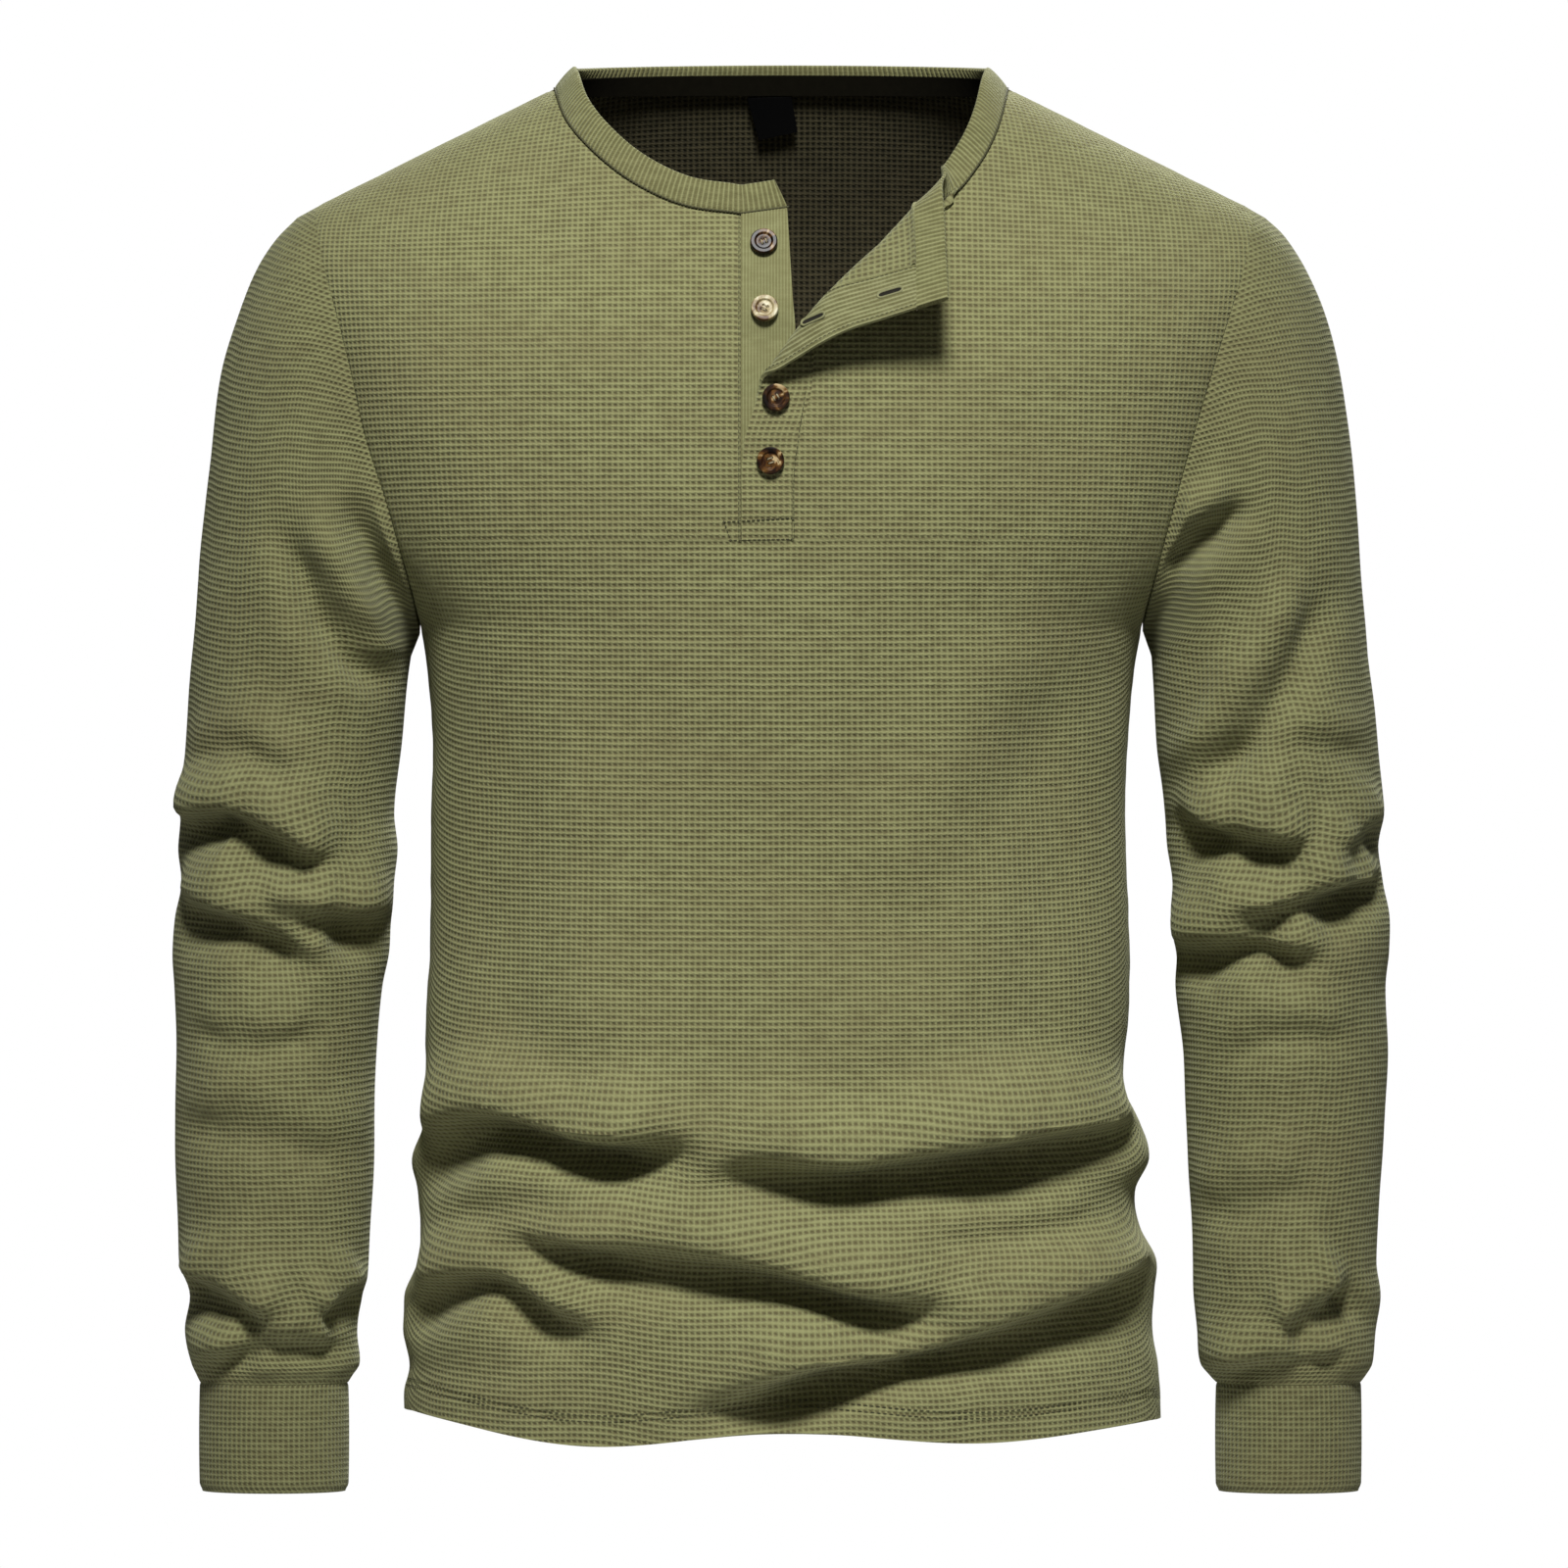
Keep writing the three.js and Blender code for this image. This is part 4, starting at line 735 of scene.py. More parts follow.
def make_cuff(sign, name, ring):
    cuff = Cloth(name, CUFF_CLOTH, sign > 0)
    centre = ring.mean(0)
    down = np.r_[0, 0.012, 0.03, np.linspace(0.06, 0.93, 18), 0.955, 0.975, 0.99, 1.0]
    bulge = 0.014 * np.sin(math.pi * np.clip(down, 0, 1)) ** 0.6
    size = 1 + bulge - 0.035 * ease((down - 0.93) / 0.07) - 0.012 * np.exp(-(down / 0.015) ** 2)
    points = centre + (ring - centre)[None] * size[:, None, None]
    points[..., 2] = ring[None, :, 2] - down[:, None] * CUFF_TALL
    u = from_seam(along_rows(all_round(points)))
    ids = cuff.grid(points, np.stack([u, -along_columns(points)], -1))
    cuff.skin(ids[::-1], closed=True)
    return cuff


UNDER_EDGE = table("z right", (-217, 4.6), (-195, 4.6), (-172, 4.8), (-150, 5.2), (-134, 6.2),
                   (-120, 6.8), (-106, 5.6), (-90, 4.6), (-76, 3.8), (-61, 2.8))


def make_under_placket():
    placket = Cloth("button_stand", PLACKET_CLOTH)
    rows, across = np.linspace(0, 1, 60), steps(8)
    low_z, high_left, high_right = -217.0, SLOT_TOP, BAND_END[1]
    x, z = np.zeros((2, len(rows), len(across)))
    for i, up in enumerate(rows):
        left_z, right_z = mix(low_z, high_left, up), mix(low_z, high_right, up)
        right = float(read(UNDER_EDGE, "z", right_z, "right"))
        x[i], z[i] = mix(SLOT_LEFT + 0.2, right, across), mix(left_z, right_z, across)
    points = body(-1, x, z)
    points[..., 1] += ease((-108 - z) / 20) * (PLACKET_CLOTH + 0.7)
    ids = placket.grid(points, np.stack([x, z], -1))
    placket.skin(ids)
    return placket, points[-1]


CLOSED_EDGE = table("z left right",
                    (-221, -19, 5.1), (-204, -19, 5.1), (-188, -19, 5.5), (-172, -17.5, 9.3))


def make_upper_placket():
    """Closed at the foot, then over the fold and turned out with the corner."""
    placket = Cloth("buttonhole_placket", PLACKET_CLOTH)
    across = steps(9)
    z = np.linspace(-221, -172, 16)
    left, right = read(CLOSED_EDGE, "z", z, "left") + 0.2, read(CLOSED_EDGE, "z", z, "right")
    closed = body(-1, mix(left[:, None], right[:, None], across), z[:, None] + 0 * across)
    along = np.linspace(0, FLAP_EDGE_LONG, 44)
    a, c = placket_place(along[:, None], across[None] * PLACKET_WIDE)
    turned = flap(a, c)
    t = np.linspace(0, 1, 8)[1:-1, None, None]
    start_way, end_way = (closed[-1] - closed[-2]) * 6.4, (turned[1] - turned[0]) * 6.4
    join = ((1 + 2 * t) * (1 - t) ** 2 * closed[-1] + t * (1 - t) ** 2 * start_way
            + t * t * (3 - 2 * t) * turned[0] + t * t * (t - 1) * end_way)
    straight_up = mix(closed[-1], turned[0], t)
    join = np.stack([straight_up[..., 0], join[..., 1], straight_up[..., 2]], -1)
    points = np.concatenate([closed, join, turned])
    ids = placket.grid(points, np.stack([along_rows(points), along_columns(points)], -1))
    placket.skin(ids)
    return placket, points[-1]


front, front_edges = make_front()
back, back_edges = make_back()


def arm_loop(which):
    start = np.argmin(np.abs(lower_heights - ARMPIT_HEIGHT))
    before, behind = front_edges[which][start:], back_edges[which][start:]
    return np.vstack([before[::-1], behind[1:-1]])


left_sleeve, left_ring = make_sleeve(-1, "left_sleeve", arm_loop("left"))
right_sleeve, right_ring = make_sleeve(1, "right_sleeve", arm_loop("right"))
left_cuff = make_cuff(-1, "left_cuff", left_ring)
right_cuff = make_cuff(1, "right_cuff", right_ring)
under, under_top = make_under_placket()
upper, upper_top = make_upper_placket()

# ---- neckband ----
NECK_CENTRE = np.array([0, -12.0, 0])


def rim_above(seam, lean, height):
    inward = unit((NECK_CENTRE - seam) * [1, 1, 0])
    upward = np.stack([0 * lean, 0 * lean, np.cos(lean) * height], -1)
    return seam + inward * (np.sin(lean) * height)[..., None] + upward


def band_line():
    """Places along the neckline's seam and on the rim above them, from button side to turned-out end."""
    line = under_top[::-1]
    start = np.linspace(0, 1, len(line))
    shift = np.stack([mix(-6, -2.5, np.clip(start * 3, 0, 1)), 0 * start, 0 * start], 1)
    seams = [line]
    rims = [rim_above(line, 0.3 + 0 * start, FLAP_BAND_WIDE + 0 * start) + shift]
    for line, lean, height in (
            (front_edges["left_neck"][::-1][1:], lambda t: mix(0.35, 0.75, t), BAND_WIDE),
            (back_edges["neck"][1:], lambda t: mix(0.75, 0.3, np.sin(math.pi * t)), BACK_BAND_WIDE),
            (front_edges["right_neck"][::-1][1:-3], lambda t: mix(0.78, 0.9, t), BAND_WIDE)):
        t = np.linspace(0, 1, len(line))
        seams.append(line)
        rims.append(rim_above(line, lean(t), height + 0 * t))
    seam = smooth_line(FLAP_BAND_SEAM, 22)
    way = unit(np.gradient(seam, axis=0))
    seams.append(front_edges["corner_neck"])
    rims.append(flap(seam[:, 0] + FLAP_BAND_WIDE * way[:, 1], seam[:, 1] - FLAP_BAND_WIDE * way[:, 0]))
    across = (steps(9) * PLACKET_WIDE)[::-1][1:]
    seams.append(upper_top[::-1][1:])
    rims.append(flap(*placket_place(FLAP_EDGE_LONG + FLAP_BAND_WIDE, across)))
    return np.vstack(seams), np.vstack(rims)


FOLD_SOFT_REACH = 16.0
band_seam, band_rim = band_line()


def blur(values, times):
    """Evens out the steps between stretches of the line."""
    for _ in range(times):
        values[1:-1] = 0.25 * values[:-2] + 0.5 * values[1:-1] + 0.25 * values[2:]
    return values


def soften(line, centre, reach, times):
    """Rounds a line off near one of its points."""
    near = ease(1 - np.linalg.norm(line - line[centre], axis=1) / reach)[:, None]
    return mix(line, blur(line.copy(), times), near)


def make_band():
    over_fold = len(band_seam) - len(upper_top) + 1 - len(front_edges["corner_neck"])
    band_soft = soften(band_seam, over_fold, FOLD_SOFT_REACH, 40)
    tall = blur(np.linalg.norm(band_rim - band_seam, axis=1), 12)
    lift = unit(blur(unit(band_rim - band_seam), 16)) * tall[:, None]
    far = np.r_[0, np.cumsum(np.linalg.norm(np.diff(band_seam, axis=0), axis=1))]
    keep = np.r_[True, np.diff(far) > 0.05]
    seam, lift, far = band_soft[keep], lift[keep], far[keep]
    at = np.linspace(0, far[-1], int(far[-1] / 1.6))
    seam = np.stack([np.interp(at, far, seam[:, k]) for k in range(3)], 1)
    lift = np.stack([np.interp(at, far, lift[:, k]) for k in range(3)], 1)
    tangent = unit(np.gradient(blur(seam.copy(), 2), axis=0))
    normal = -unit(blur(unit(np.cross(tangent, lift)), 14))
    # The band's cut: share of its height, and how far it stands out from the seam.
    outline = [(0.0, 0.0), (0.04, 0.25), (0.12, 0.45), (0.3, 0.62), (0.5, 0.66), (0.7, 0.55),
               (0.86, 0.28), (0.94, 0.0), (0.985, -0.4), (1.0, -0.9), (1.0, -1.5), (0.985, -2.0),
               (0.94, -2.3), (0.7, -BAND_CLOTH), (0.4, -BAND_CLOTH), (0.12, -2.3), (0.0, -2.2)]
    rise, stand = np.array(outline).T
    points = seam[:, None] + lift[:, None] * rise[None, :, None] + normal[:, None] * stand[None, :, None]
    count, ring = points.shape[:2]
    u = np.repeat(at[:, None], ring, 1)
    v = np.repeat((rise * FLAP_BAND_WIDE)[None], count, 0)
    return points, tube_faces(count, ring), np.stack([u, v], -1).reshape(-1, 2), seam, lift, normal


# ---- finishes ----
def add_node(tree, kind, inputs=None, stops=None, **settings):
    """A node with its settings, its ramp's stops, and its inputs linked or set."""
    made = tree.nodes.new(kind)
    for key, value in settings.items():
        setattr(made, key, value)
    if stops:
        ramp = made.color_ramp
        for place, colour in stops[1:-1]:
            ramp.elements.new(place)
        for element, (place, colour) in zip(ramp.elements, stops):
            element.position, element.color = place, colour
    for key, value in (inputs or {}).items():
        source = getattr(value, "socket", value)
        if isinstance(source, bpy.types.NodeSocket):
            tree.links.new(source, made.inputs[key])
        else:
            made.inputs[key].default_value = source
    return made


class Value:
    """A number or colour that changes over a surface. Sums and products add Math nodes."""

    def __init__(self, paint, socket):
        self.paint, self.socket = paint, socket

    def math(self, operation, *others):
        made = self.paint.node("ShaderNodeMath", dict(enumerate((self, *others))), operation=operation)
        return Value(self.paint, made.outputs[0])

    def __add__(self, other):
        return self.math("ADD", other)

    def __sub__(self, other):
        return self.math("SUBTRACT", other)

    def __rsub__(self, other):
        return (self * -1) + other

    def __mul__(self, other):
        return self.math("MULTIPLY", other)

    def __pow__(self, other):
        return self.math("POWER", other)

    __radd__, __rmul__ = __add__, __mul__

    def cosine(self):
        return self.math("COSINE")

    def clamped(self):
        return self.math("MINIMUM", 1.0).math("MAXIMUM", 0.0)


class Paint:
    """One finish, built from nodes."""

    def __init__(self, name):
        self.material = bpy.data.materials.new(name)
        self.material.use_nodes = True
        self.tree = self.material.node_tree
        self.tree.nodes.clear()

    def node(self, kind, inputs=None, stops=None, **settings):
        return add_node(self.tree, kind, inputs, stops, **settings)

    def value(self, made, output=0):
        return Value(self, made.outputs[output])

    def blend(self, share, first, second):
        made = self.node("ShaderNodeMix", {0: share, 6: first, 7: second}, data_type="RGBA")
        return self.value(made, 2)

    def place(self):
        return self.value(self.node("ShaderNodeTexCoord"), "Object")

    def noise(self, scale, detail=3.0, rough=0.5, squash=None):
        place = self.place()
        if squash:
            place = self.value(self.node("ShaderNodeMapping", {"Vector": place, "Scale": squash}))
        return self.value(self.node("ShaderNodeTexNoise", {
            "Vector": place, "Scale": scale, "Detail": detail, "Roughness": rough}))

    def on_cloth(self):
        """Distance across and up the flat cloth, in metres."""
        read_place = self.value(self.node("ShaderNodeAttribute", attribute_name="cloth_place"), "Vector")
        parts = self.node("ShaderNodeSeparateXYZ", {0: read_place})
        return self.value(parts, 0), self.value(parts, 1)

    def finish(self, colour, height=None, bump=0.0004, strength=1.0, **fixed):
        inputs = {"Base Color": colour, **{key.replace("_", " "): value for key, value in fixed.items()}}
        if height is not None:
            raised = self.node("ShaderNodeBump", {"Height": height, "Distance": bump, "Strength": strength})
            inputs["Normal"] = self.value(raised)
        surface = self.node("ShaderNodeBsdfPrincipled", inputs)
        self.node("ShaderNodeOutputMaterial", {"Surface": self.value(surface)})
        return self.material


# DARK_OLIVE is the colour in the knit's wells: painted shade there.
LIGHT_OLIVE = (0.275, 0.278, 0.126)
DARK_OLIVE = (0.118, 0.104, 0.046)
WORN_OLIVE = (0.190, 0.165, 0.078)


def knit(name, light=LIGHT_OLIVE, dark=DARK_OLIVE, worn=WORN_OLIVE, wales=0.75, courses=0.92,
         pitch=(WAFFLE, WAFFLE), bump=0.0007, tone=1.0):
    """Waffle or rib knit: ribs up the cloth (wales) and across it (courses), with dark wells between; the
    dark in the wells is painted shade, and a tone below 1 darkens the whole knit as painted shade.
    """
    light, dark, worn = (tuple(c * tone for c in colour) + (1,) for colour in (light, dark, worn))
    paint = Paint(name)
    u, v = paint.on_cloth()
    across_turns, up_turns = (2000 * math.pi / size for size in pitch)
    slip = (paint.noise(55, 2.0) - 0.5) * 1.1
    up_rib = ((u * across_turns + slip).cosine() * 0.5 + 0.5) ** 1.5
    cross_rib = ((v * up_turns + slip).cosine() * 0.5 + 0.5) ** 1.2
    loops = (v * (2 * up_turns) + u * across_turns).cosine() * 0.06
    yarn = paint.noise(1500, 2.0, 0.6)
    streaks = paint.noise(330, 2.0, 0.5, (0.35, 0.35, 1.0))
    height = 1 - (1 - up_rib * wales) * (1 - cross_rib * courses) + loops
    raised = height + (yarn - 0.5) * 0.5 + (streaks - 0.5) * 0.4
    # Colour follows the knit's height: dark in the wells as painted shade, plus the yarn's own uneven tone
    # from the noise.
    well_shade_and_yarn = (height * 1.05 + (yarn - 0.5) * 0.55 + (streaks - 0.5) * 0.9 - 0.02).clamped()
    patches = ((paint.noise(26, 4.0, 0.62, (0.4, 0.4, 1.0)) - 0.42) * 2.4).clamped() * 0.45
    colour = paint.blend(patches, paint.blend(well_shade_and_yarn, dark, light), worn)
    return paint.finish(colour, raised, bump, Roughness=0.92, Sheen_Weight=0.2, Sheen_Roughness=0.5,
                        Sheen_Tint=(0.8, 0.85, 0.6, 1), Specular_IOR_Level=0.12)


waffle = knit("waffle_knit")
# Inner faces: the same waffle darkened by a tenth, as painted shade.
waffle_inside_painted_shade = knit("waffle_knit_inside_painted_shade", tone=0.9)
# Sleeves: the same waffle darkened, as painted shade.
sleeve_knit_painted_shade = knit("waffle_knit_sleeve_painted_shade", tone=0.84)
# The back's inner face: near-black knit colours, painted shade inside the back.
painted_shade_inside = knit("waffle_knit_back_inside_painted_shade", (0.086, 0.073, 0.038), (0.009, 0.007, 0.003),
                    (0.046, 0.036, 0.019), wales=0.9, courses=0.6)
# Cuffs: a finer rib knit darkened as a whole, as painted shade.
cuff_knit_painted_shade = knit("cuff_knit_painted_shade", wales=0.85, courses=0.7, pitch=(2.6, 2.6), tone=0.78)
rib = knit("rib_knit", dark=(0.12, 0.115, 0.045), wales=0.95, courses=0.12, pitch=(2.6, 2.0), bump=0.0006)
stand_knit = knit("plain_knit", (0.29, 0.30, 0.145), (0.17, 0.165, 0.07), wales=0.7, courses=0.1,
                  pitch=(1.5, 1.6), bump=0.00025)
facing_knit = knit("facing_knit", (0.32, 0.325, 0.16), (0.13, 0.125, 0.05), wales=0.9, courses=0.15,
                   pitch=(2.3, 2.0), bump=0.0006)


def plain_paint(name, first, second, scale, bump=0.0001, **fixed):
    paint = Paint(name)
    cloudy = paint.noise(scale, 3.0)
    colour = paint.blend(cloudy, first + (1,), second + (1,))
    return paint.finish(colour, paint.noise(scale * 6, 2.0), bump, **fixed)


# Near-black tape colour: painted shade inside the back neck.
tape_painted_shade = plain_paint("neck_tape_painted_shade", (0.004, 0.0035, 0.002), (0.008, 0.007, 0.004), 300,
                         Roughness=1.0, Specular_IOR_Level=0.05)
label_satin = plain_paint("label_satin", (0.001, 0.001, 0.001), (0.002, 0.002, 0.002), 400,
                          Roughness=0.9, Specular_IOR_Level=0.1)
thread = plain_paint("sewing_thread", (0.17, 0.17, 0.075), (0.26, 0.26, 0.12), 900, Roughness=0.7)
dark_thread = plain_paint("seam_shadow_thread", (0.045, 0.042, 0.016), (0.09, 0.088, 0.036), 900,
                          Roughness=0.8)
# Near-black lids in the buttonhole slits: painted shade.
hole_painted_shade = plain_paint("buttonhole_gap_painted_shade", (0.006, 0.005, 0.002), (0.012, 0.010, 0.004), 500, Roughness=1.0)
button_thread = plain_paint("button_thread", (0.30, 0.25, 0.14), (0.45, 0.40, 0.25), 900, Roughness=0.7)


def marbled(name, dark, brown, gold, cream):
    """Horn-like button plastic: brown, amber and cream streaks under gloss."""
    paint = Paint(name)
    streak = paint.node("ShaderNodeTexNoise", {"Vector": paint.place(), "Scale": 78.0, "Detail": 3.0,
                                               "Roughness": 0.55, "Distortion": 1.4})
    stops = zip((0.42, 0.53, 0.60, 0.66, 0.74), (dark, brown, gold, cream, brown))
    tones = paint.node("ShaderNodeValToRGB", {0: paint.value(streak)},
                       stops=[(place, colour + (1,)) for place, colour in stops])
    return paint.finish(paint.value(tones), Roughness=0.32, Specular_IOR_Level=0.14)


brown_plastic = marbled("brown_marbled_button", (0.005, 0.003, 0.002), (0.030, 0.012, 0.005),
                        (0.13, 0.060, 0.014), (0.55, 0.42, 0.22))
cream_plastic = marbled("cream_marbled_button", (0.10, 0.05, 0.02), (0.34, 0.27, 0.13), (0.50, 0.44, 0.26),
                        (0.66, 0.62, 0.44))

# ---- cloth pieces ----
def on_body(side, places, offset=0.0):
    """A line in the front view laid on the body, with its outward directions."""
    line = np.asarray(places, float)
    points = body(side, line[:, 0], line[:, 1])
    across = body(side, line[:, 0] + 0.8, line[:, 1]) - points
    up = body(side, line[:, 0], line[:, 1] + 0.8) - points
    out = unit(np.cross(across, up)) * (-side)
    return points + out * offset, out


def hem_places(hem, above):
    """A line at one height above the hem's edge, from near one side seam to near the other."""
    share = np.sin(np.linspace(-0.93, 0.93, 150) * math.pi / 2)
    z = read(hem, "x", share * side_at(np.sign(share), HEM_HEIGHT + 10), "z") + above
    return np.stack([share * side_at(np.sign(share), z), z], 1)


HEMS = ((-1, FRONT_HEM), (1, BACK_HEM))
hem_fold = sum(HEM_STITCHES) / 2
armholes = [arm_loop("left"), arm_loop("right")]
neckline = [front_edges["left_neck"], front_edges["right_neck"], back_edges["neck"]]
shoulders = [front_edges["left_shoulder"], front_edges["right_shoulder"]]
start = np.argmin(np.abs(lower_heights - ARMPIT_HEIGHT))
side_seams = [front_edges["left"][:start + 1], front_edges["right"][:start + 1]]
hem_seams = [on_body(side, hem_places(hem, hem_fold))[0] for side, hem in HEMS]
sink_seams(front, armholes + shoulders + side_seams + hem_seams[:1], 0.4, 1.8, 0.35)
sink_seams(front, neckline[:2] + [front_edges["corner_neck"]], 1.5, 1.7, 0.0)
sink_seams(front, [front_edges["slot"], front_edges["opening"][:20]], 0.8, 1.2, 0.0)
sink_seams(back, armholes + shoulders + side_seams + hem_seams[1:], 0.4, 1.8, 0.35)
sink_seams(left_sleeve, [armholes[0]], 0.4, 1.8, 0.45)
sink_seams(right_sleeve, [armholes[1]], 0.4, 1.8, 0.45)

pieces = {
    "front": sew(front, waffle, waffle_inside_painted_shade),
    "back": sew(back, waffle, painted_shade_inside),
    "sleeve_left": sew(left_sleeve, sleeve_knit_painted_shade, waffle_inside_painted_shade),
    "sleeve_right": sew(right_sleeve, sleeve_knit_painted_shade, waffle_inside_painted_shade),
    "cuff_left": sew(left_cuff, cuff_knit_painted_shade, cuff_knit_painted_shade),
    "cuff_right": sew(right_cuff, cuff_knit_painted_shade, cuff_knit_painted_shade),
    "placket_under": sew(under, stand_knit, stand_knit),
    "placket_upper": sew(upper, waffle, facing_knit),
}
band_points, band_faces, band_places, band_foot, band_lift, band_normal = make_band()
pieces["neckband"] = new_piece("neckband_rib", band_points.reshape(-1, 3), band_faces,
                               [0] * len(band_faces), [rib], band_places)


# Tape over the back neck seam, coloured near black as painted shade, and the plain label that hangs from it.
def make_tape():
    tape = Cloth("back_neck_tape", 0.8)
    spots = np.flatnonzero(band_foot[:, 1] > 8)
    foot, lift, normal = band_foot[spots], band_lift[spots], band_normal[spots]
    rows = np.linspace(-0.12, 0.66, 7)
    points = foot[None] + lift[None] * rows[:, None, None] - normal[None] * (BAND_CLOTH + 0.9)
    ids = tape.grid(points, np.stack([along_rows(points), along_columns(points)], -1))
    tape.skin(ids[:, ::-1])
    return tape


pieces["neck_tape"] = sew(make_tape(), tape_painted_shade, tape_painted_shade)


def make_label():
    label = Cloth("plain_label", 0.7, True)
    low, high = np.array([[-11, -21.5], [8, -17.5]]), np.array([[-16.5, -1.5], [5, -1]])
    a, b = np.linspace(0, 1, 9)[None, :, None], np.linspace(0, 1, 11)[:, None, None]
    flat = mix(mix(low[0], low[1], a), mix(high[0], high[1], a), b)
    points = body(1, flat[..., 0], flat[..., 1], False)
    points[..., 1] -= 4.2 + 1.2 * (1 - b[..., 0]) + 0.5 * np.sin(a[..., 0] * 3)
    ids = label.grid(points, flat)
    label.skin(ids)
    return label


pieces["label"] = sew(make_label(), label_satin, label_satin)

# ---- buttons ----
BUTTONS = [(-8.2, -79, 20), (-7.8, -111, 65), (-2.4, -153.5, 30), (-5, -183.5, 110)]  # x, z, turn
SEWING_HOLE = 1.05
THREAD_RADIUS = 0.15


def button_face(x, y):
    """Height of the button's top: raised rim, sunk middle and four sewing holes."""
    r = np.hypot(x, y)
    height = BUTTON_THICK - 1.0 + 1.0 * ease((r - 3.6) / 0.9) - 1.5 * ease((r - 6.0) / 0.75) ** 2
    height = height + 0.25 * (1 - ease(r / 3.2))
    for dy in (SEWING_HOLE, -SEWING_HOLE):
        for dx in (SEWING_HOLE, -SEWING_HOLE):
            height = height - 1.3 * (1 - ease((np.hypot(x - dx, y - dy) - 0.42) / 0.28))
    return height


def make_button(index, x, z, turn):
    edge, around, centre = BUTTON_ACROSS / 2, 64, 0.08
    rings = np.r_[np.linspace(centre, 3.0, 26), np.linspace(3.1, edge, 20)]
    angle = np.arange(around) * 2 * math.pi / around
    px, py = rings[:, None] * np.cos(angle), rings[:, None] * np.sin(angle)
    top = np.stack([px, py, button_face(px, py)], -1)
    low = np.stack([np.stack([r * np.cos(angle), r * np.sin(angle), h + 0 * angle], -1)
                    for r, h in ((edge, 1.0), (edge - 0.1, 0.5), (edge - 0.6, 0.0), (centre, 0.0))])
    points = np.vstack([top, low]).reshape(-1, 3)
    faces = tube_faces(len(points) // around, around)
    slots = [0] * len(faces)
    reach = np.linspace(-1.3, 1.3, 9)
    spin = np.arange(6) * math.pi / 3
    section = THREAD_RADIUS * np.stack([np.cos(spin), 0 * spin, np.sin(spin)], -1)
    for lane in (-SEWING_HOLE, SEWING_HOLE):
        for offset in (lane - 0.12, lane + 0.12):
            path = np.stack([offset + 0 * reach, reach, 1.55 + 0.85 * np.cos(reach / 1.5 * math.pi / 2)], -1)
            more = tube_faces(len(path), len(spin), len(points), turned=True)
            points = np.vstack([points, (path[:, None] + section[None]).reshape(-1, 3)])
            faces += more
            slots += [1] * len(more)
    at = body(-1, x, z)
    side = unit(body(-1, x + 1, z) - at)
    up = unit(body(-1, x, z + 1) - at)
    away = unit(np.cross(side, up))
    up = np.cross(away, side)
    c, s = math.cos(math.radians(turn)), math.sin(math.radians(turn))
    axes = np.stack([side * c + up * s, up * c - side * s, away])
    shank = 0.6
    placed = at + points @ axes + away * shank
    return new_piece(f"button_{index}_marbled", placed, faces, slots,
                     [cream_plastic if index == 2 else brown_plastic, button_thread], sharp=60)


for i, (x, z, turn) in enumerate(BUTTONS):
    pieces[f"button_{i + 1}"] = make_button(i + 1, x, z, turn)


# ---- sewing ----
def stitch_tree():
    """Geometry nodes: one short thread, repeated along a line that carries its outward direction."""
    tree = bpy.data.node_groups.new("stitch_row", "GeometryNodeTree")
    face = tree.interface
    face.new_socket("Geometry", in_out="INPUT", socket_type="NodeSocketGeometry")
    for name, size in (("Stitch Step", 0.0028), ("Stitch Length", 0.0022), ("Thread Width", 0.0006)):
        face.new_socket(name, in_out="INPUT", socket_type="NodeSocketFloat").default_value = size
    face.new_socket("Thread", in_out="INPUT", socket_type="NodeSocketMaterial")
    face.new_socket("Geometry", in_out="OUTPUT", socket_type="NodeSocketGeometry")

    def node(kind, inputs=None, **settings):
        return add_node(tree, kind, inputs, **settings).outputs
    given = add_node(tree, "NodeGroupInput").outputs
    outward = node("GeometryNodeInputNamedAttribute", {"Name": "outward"}, data_type="FLOAT_VECTOR")[0]
    line = node("GeometryNodeMeshToCurve", {"Mesh": given["Geometry"]})[0]
    places = node("GeometryNodeCurveToPoints", {"Curve": line, "Length": given["Stitch Step"]}, mode="LENGTH")
    axes = {"Primary Axis": outward, "Secondary Axis": places["Tangent"]}
    turned = node("FunctionNodeAxesToRotation", axes, primary_axis="Z", secondary_axis="X")[0]
    bead = node("GeometryNodeMeshUVSphere", {"Segments": 6, "Rings": 4, "Radius": 0.5})[0]
    size = node("ShaderNodeCombineXYZ", {
        0: given["Stitch Length"], 1: given["Thread Width"], 2: given["Thread Width"]})[0]
    copies = node("GeometryNodeInstanceOnPoints", {
        "Points": places["Points"], "Instance": bead, "Rotation": turned, "Scale": size})[0]
    real = node("GeometryNodeRealizeInstances", {"Geometry": copies})[0]
    shaded = node("GeometryNodeSetShadeSmooth", {"Geometry": real})[0]
    painted = node("GeometryNodeSetMaterial", {"Geometry": shaded, "Material": given["Thread"]})[0]
    node("NodeGroupOutput", {"Geometry": painted})
    return tree


stitches = stitch_tree()


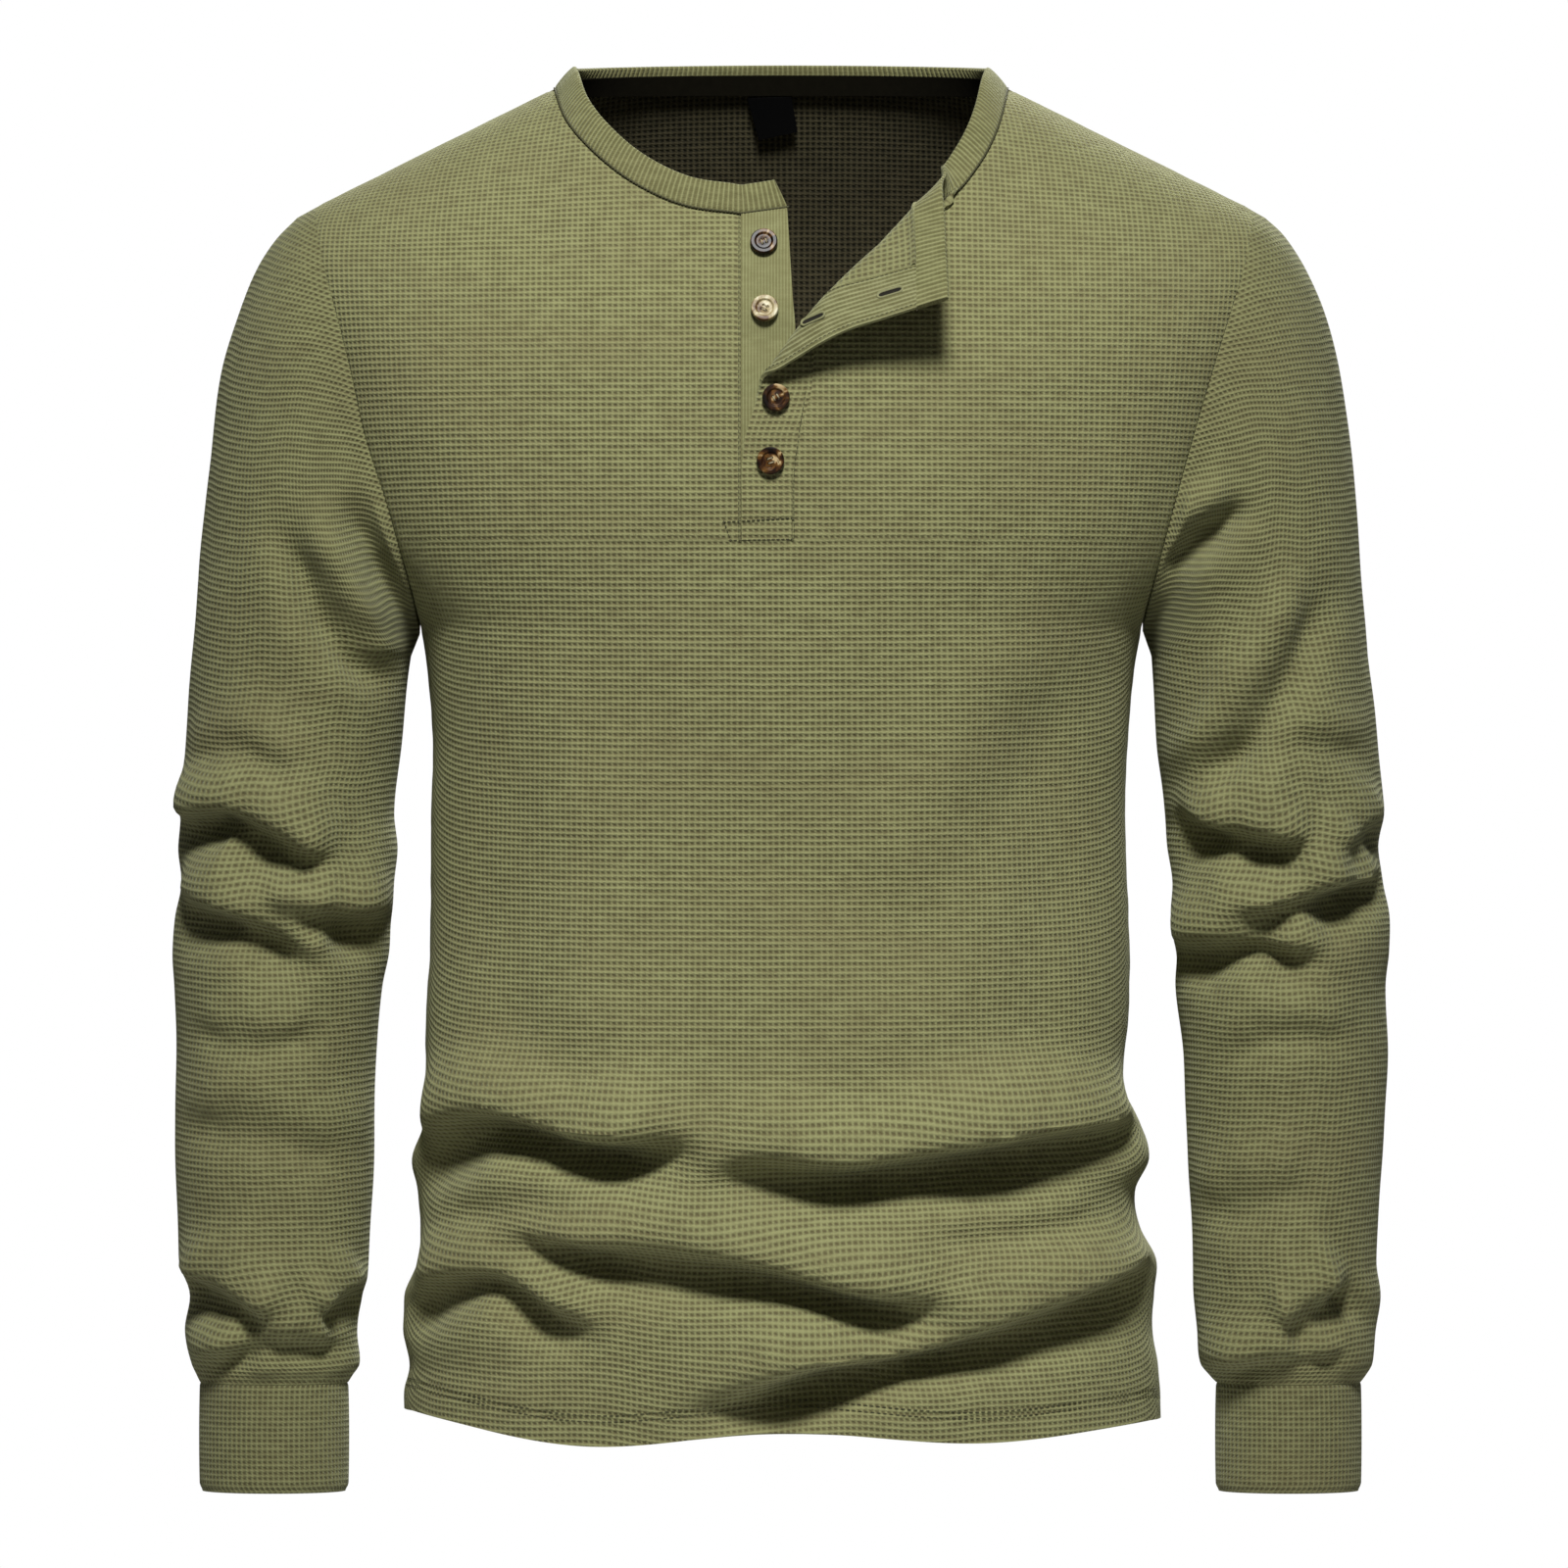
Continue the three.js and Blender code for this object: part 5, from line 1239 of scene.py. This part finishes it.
def sew_rows(name, rows, paint, step=2.8, length=2.2, wide=0.6):
    """Rows of thread; each is a line and the cloth's outward direction beside it."""
    points = np.vstack([line for line, _ in rows])
    outward = np.vstack([out for _, out in rows])
    edges, first = [], 0
    for line, _ in rows:
        edges += [(first + i, first + i + 1) for i in range(len(line) - 1)]
        first += len(line)
    mesh = bpy.data.meshes.new(name + "_line")
    mesh.from_pydata(((points + outward * 0.12) * 0.001).tolist(), edges, [])
    layer = mesh.attributes.new("outward", "FLOAT_VECTOR", "POINT")
    layer.data.foreach_set("vector", outward.astype(np.float32).ravel())
    made = bpy.data.objects.new(name, mesh)
    bpy.context.scene.collection.objects.link(made)
    modifier = made.modifiers.new("stitches", "NODES")
    modifier.node_group = stitches
    sizes = {"Stitch Step": step * 0.001, "Stitch Length": length * 0.001,
             "Thread Width": wide * 0.001, "Thread": paint}
    for item in stitches.interface.items_tree:
        if item.item_type == "SOCKET" and item.in_out == "INPUT" and item.name in sizes:
            modifier[item.identifier] = sizes[item.name]
    bpy.context.view_layer.update()
    whole = made.evaluated_get(bpy.context.evaluated_depsgraph_get())
    final = bpy.data.meshes.new_from_object(whole)
    made.modifiers.clear()
    made.data = final
    return made


def straight(start, end, count=40):
    return np.linspace(start, end, count)


sewing = [
    sew_rows("hem_stitching", [on_body(side, hem_places(hem, above)) for side, hem in HEMS
                               for above in HEM_STITCHES], dark_thread, 3.0, 2.3, 0.55),
    sew_rows("placket_stitching", [
        on_body(-1, straight((SLOT_LEFT - 0.8, -219), (SLOT_LEFT - 0.8, -66))),
        on_body(-1, smooth_line([(6.2, -219), (6.2, -190), (8.4, -172), (11.6, -151)], 40)),
    ], dark_thread, 2.6, 2.0, 0.5),
    sew_rows("placket_box_stitching", [
        on_body(-1, straight((-27, -212.5), (5.4, -210.5)), 0.3),
        on_body(-1, straight((-24, -221.2), (5.4, -220.6)), 0.1),
        on_body(-1, straight((-27, -212.5), (-24, -221.2), 12), 0.1),
    ], dark_thread, 2.2, 2.0, 0.7),
    sew_rows("neckband_stitching", [(band_foot - band_lift * 0.03, band_normal)],
             dark_thread, 1.7, 2.2, 1.15),
]


def on_placket(along, across, inside=True):
    """A line on the turned-out placket: its inner face shows."""
    a, c = placket_place(np.asarray(along, float), np.asarray(across, float))
    points = flap(a, c)
    da, dc = placket_place(np.asarray(along, float) + 0.5, np.asarray(across, float))
    ea, ec = placket_place(np.asarray(along, float), np.asarray(across, float) + 0.5)
    out = unit(np.cross(flap(ea, ec) - points, flap(da, dc) - points))
    out = np.where(out[:, 1:2] > 0, -out, out)
    return points + out * (PLACKET_CLOTH if inside else 0), out


run = np.linspace(8, 92, 60)
sewing.append(sew_rows("turned_placket_stitching", [
    on_placket(run, 0 * run + 22.6), on_placket(run, 0 * run + 1.8),
], dark_thread, 2.4, 1.9, 0.5))


def make_buttonhole(name, along, across, long=13.5, wide=4.4):
    """Satin-stitched slit on the turned-out placket's inner face; the slit is closed by near-black lids,
    painted shade.
    """
    spin = np.linspace(0, 2 * math.pi, 49)[:-1]
    half = (long - wide) / 2
    x = np.cos(spin) * wide / 2 + np.clip(np.cos(spin) * 9, -1, 1) * half
    y = np.sin(spin) * wide / 2
    centre, out = on_placket([along], [across])
    way = unit(on_placket([along + 1], [across])[0] - centre)[0]
    out, centre = out[0], centre[0]
    side = np.cross(out, way)
    rings = []
    for share, lift in ((1.0, -0.1), (0.97, 0.4), (0.8, 0.5), (0.6, 0.35), (0.52, 0.02)):
        shrunk = np.sign(x) * np.maximum(0, np.abs(x) - wide / 2 * (1 - share))
        rings.append(centre + way * shrunk[:, None] + side * (y * share)[:, None] + out * lift)
    faces = tube_faces(len(rings), len(spin), turned=True)
    slots = [0] * (len(faces) - 2) + [1, 1]
    return new_piece(name, np.concatenate(rings), faces, slots, [thread, hole_painted_shade], sharp=80)


sewing.append(make_buttonhole("buttonhole_upper", 78.0, 12.5))
sewing.append(make_buttonhole("buttonhole_lower", 40.0, 11.5))

# ---- frame, and the CAD parts hidden ----
for node_name, piece in pieces.items():
    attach(piece, "root")
    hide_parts(node_name)
for piece in sewing:
    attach(piece, "root")

# ---- studio ----
scene = bpy.context.scene
scene.view_settings.view_transform = "Standard"
bpy.ops.mesh.primitive_plane_add(size=5, location=(0, 0, -0.95))
floor = bpy.context.object
floor.name = "studio_floor"
floor_paint = plain_paint("pale_floor", (0.50, 0.50, 0.50), (0.53, 0.53, 0.53), 2, Roughness=0.9)
floor.data.materials.append(floor_paint)

world = bpy.data.worlds.new("studio")
scene.world = world
world.use_nodes = True
sky = world.node_tree
sky.nodes.clear()
seen, lit = (add_node(sky, "ShaderNodeBackground", {"Color": (1, 1, 1, 1), "Strength": strength})
             for strength in (1.0, 0.03))
rays = add_node(sky, "ShaderNodeLightPath").outputs["Is Camera Ray"]
chooser = add_node(sky, "ShaderNodeMixShader", {0: rays, 1: lit.outputs[0], 2: seen.outputs[0]})
add_node(sky, "ShaderNodeOutputWorld", {0: chooser.outputs[0]})


def soft_light(name, place, aim, size, power, beam=180):
    data = bpy.data.lights.new(name, "AREA")
    data.shape, data.size, data.energy, data.spread = "DISK", size, power, math.radians(beam)
    light = bpy.data.objects.new(name, data)
    scene.collection.objects.link(light)
    light.location = place
    light.rotation_euler = (Vector(aim) - Vector(place)).to_track_quat("-Z", "Y").to_euler()


soft_light("key_light", (0.05, -2.62, 2.35), (0, 0, -0.45), 0.9, 19.6, beam=60)
soft_light("fill_light", (0.5, -3.2, 0.3), (0, 0, -0.4), 1.6, 1.5)
soft_light("back_light", (0.5, 2.4, 1.5), (0, 0, -0.35), 1.3, 16, beam=60)

# The photo's frame spans 760 mm at the shirt, seen from 6 m away.
PHOTO_WIDE, CAMERA_AWAY, FILM_WIDE = 760.0, 6000.0, 36.0
camera_data = bpy.data.cameras.new("photo_camera")
camera_data.sensor_width, camera_data.lens = FILM_WIDE, FILM_WIDE * CAMERA_AWAY / PHOTO_WIDE
camera_data.clip_end = 100
camera = bpy.data.objects.new("photo_camera", camera_data)
scene.collection.objects.link(camera)
camera.location = (0.0014, -CAMERA_AWAY / 1000, -0.337)
camera.rotation_euler = (math.pi / 2, 0, 0)
scene.camera = camera
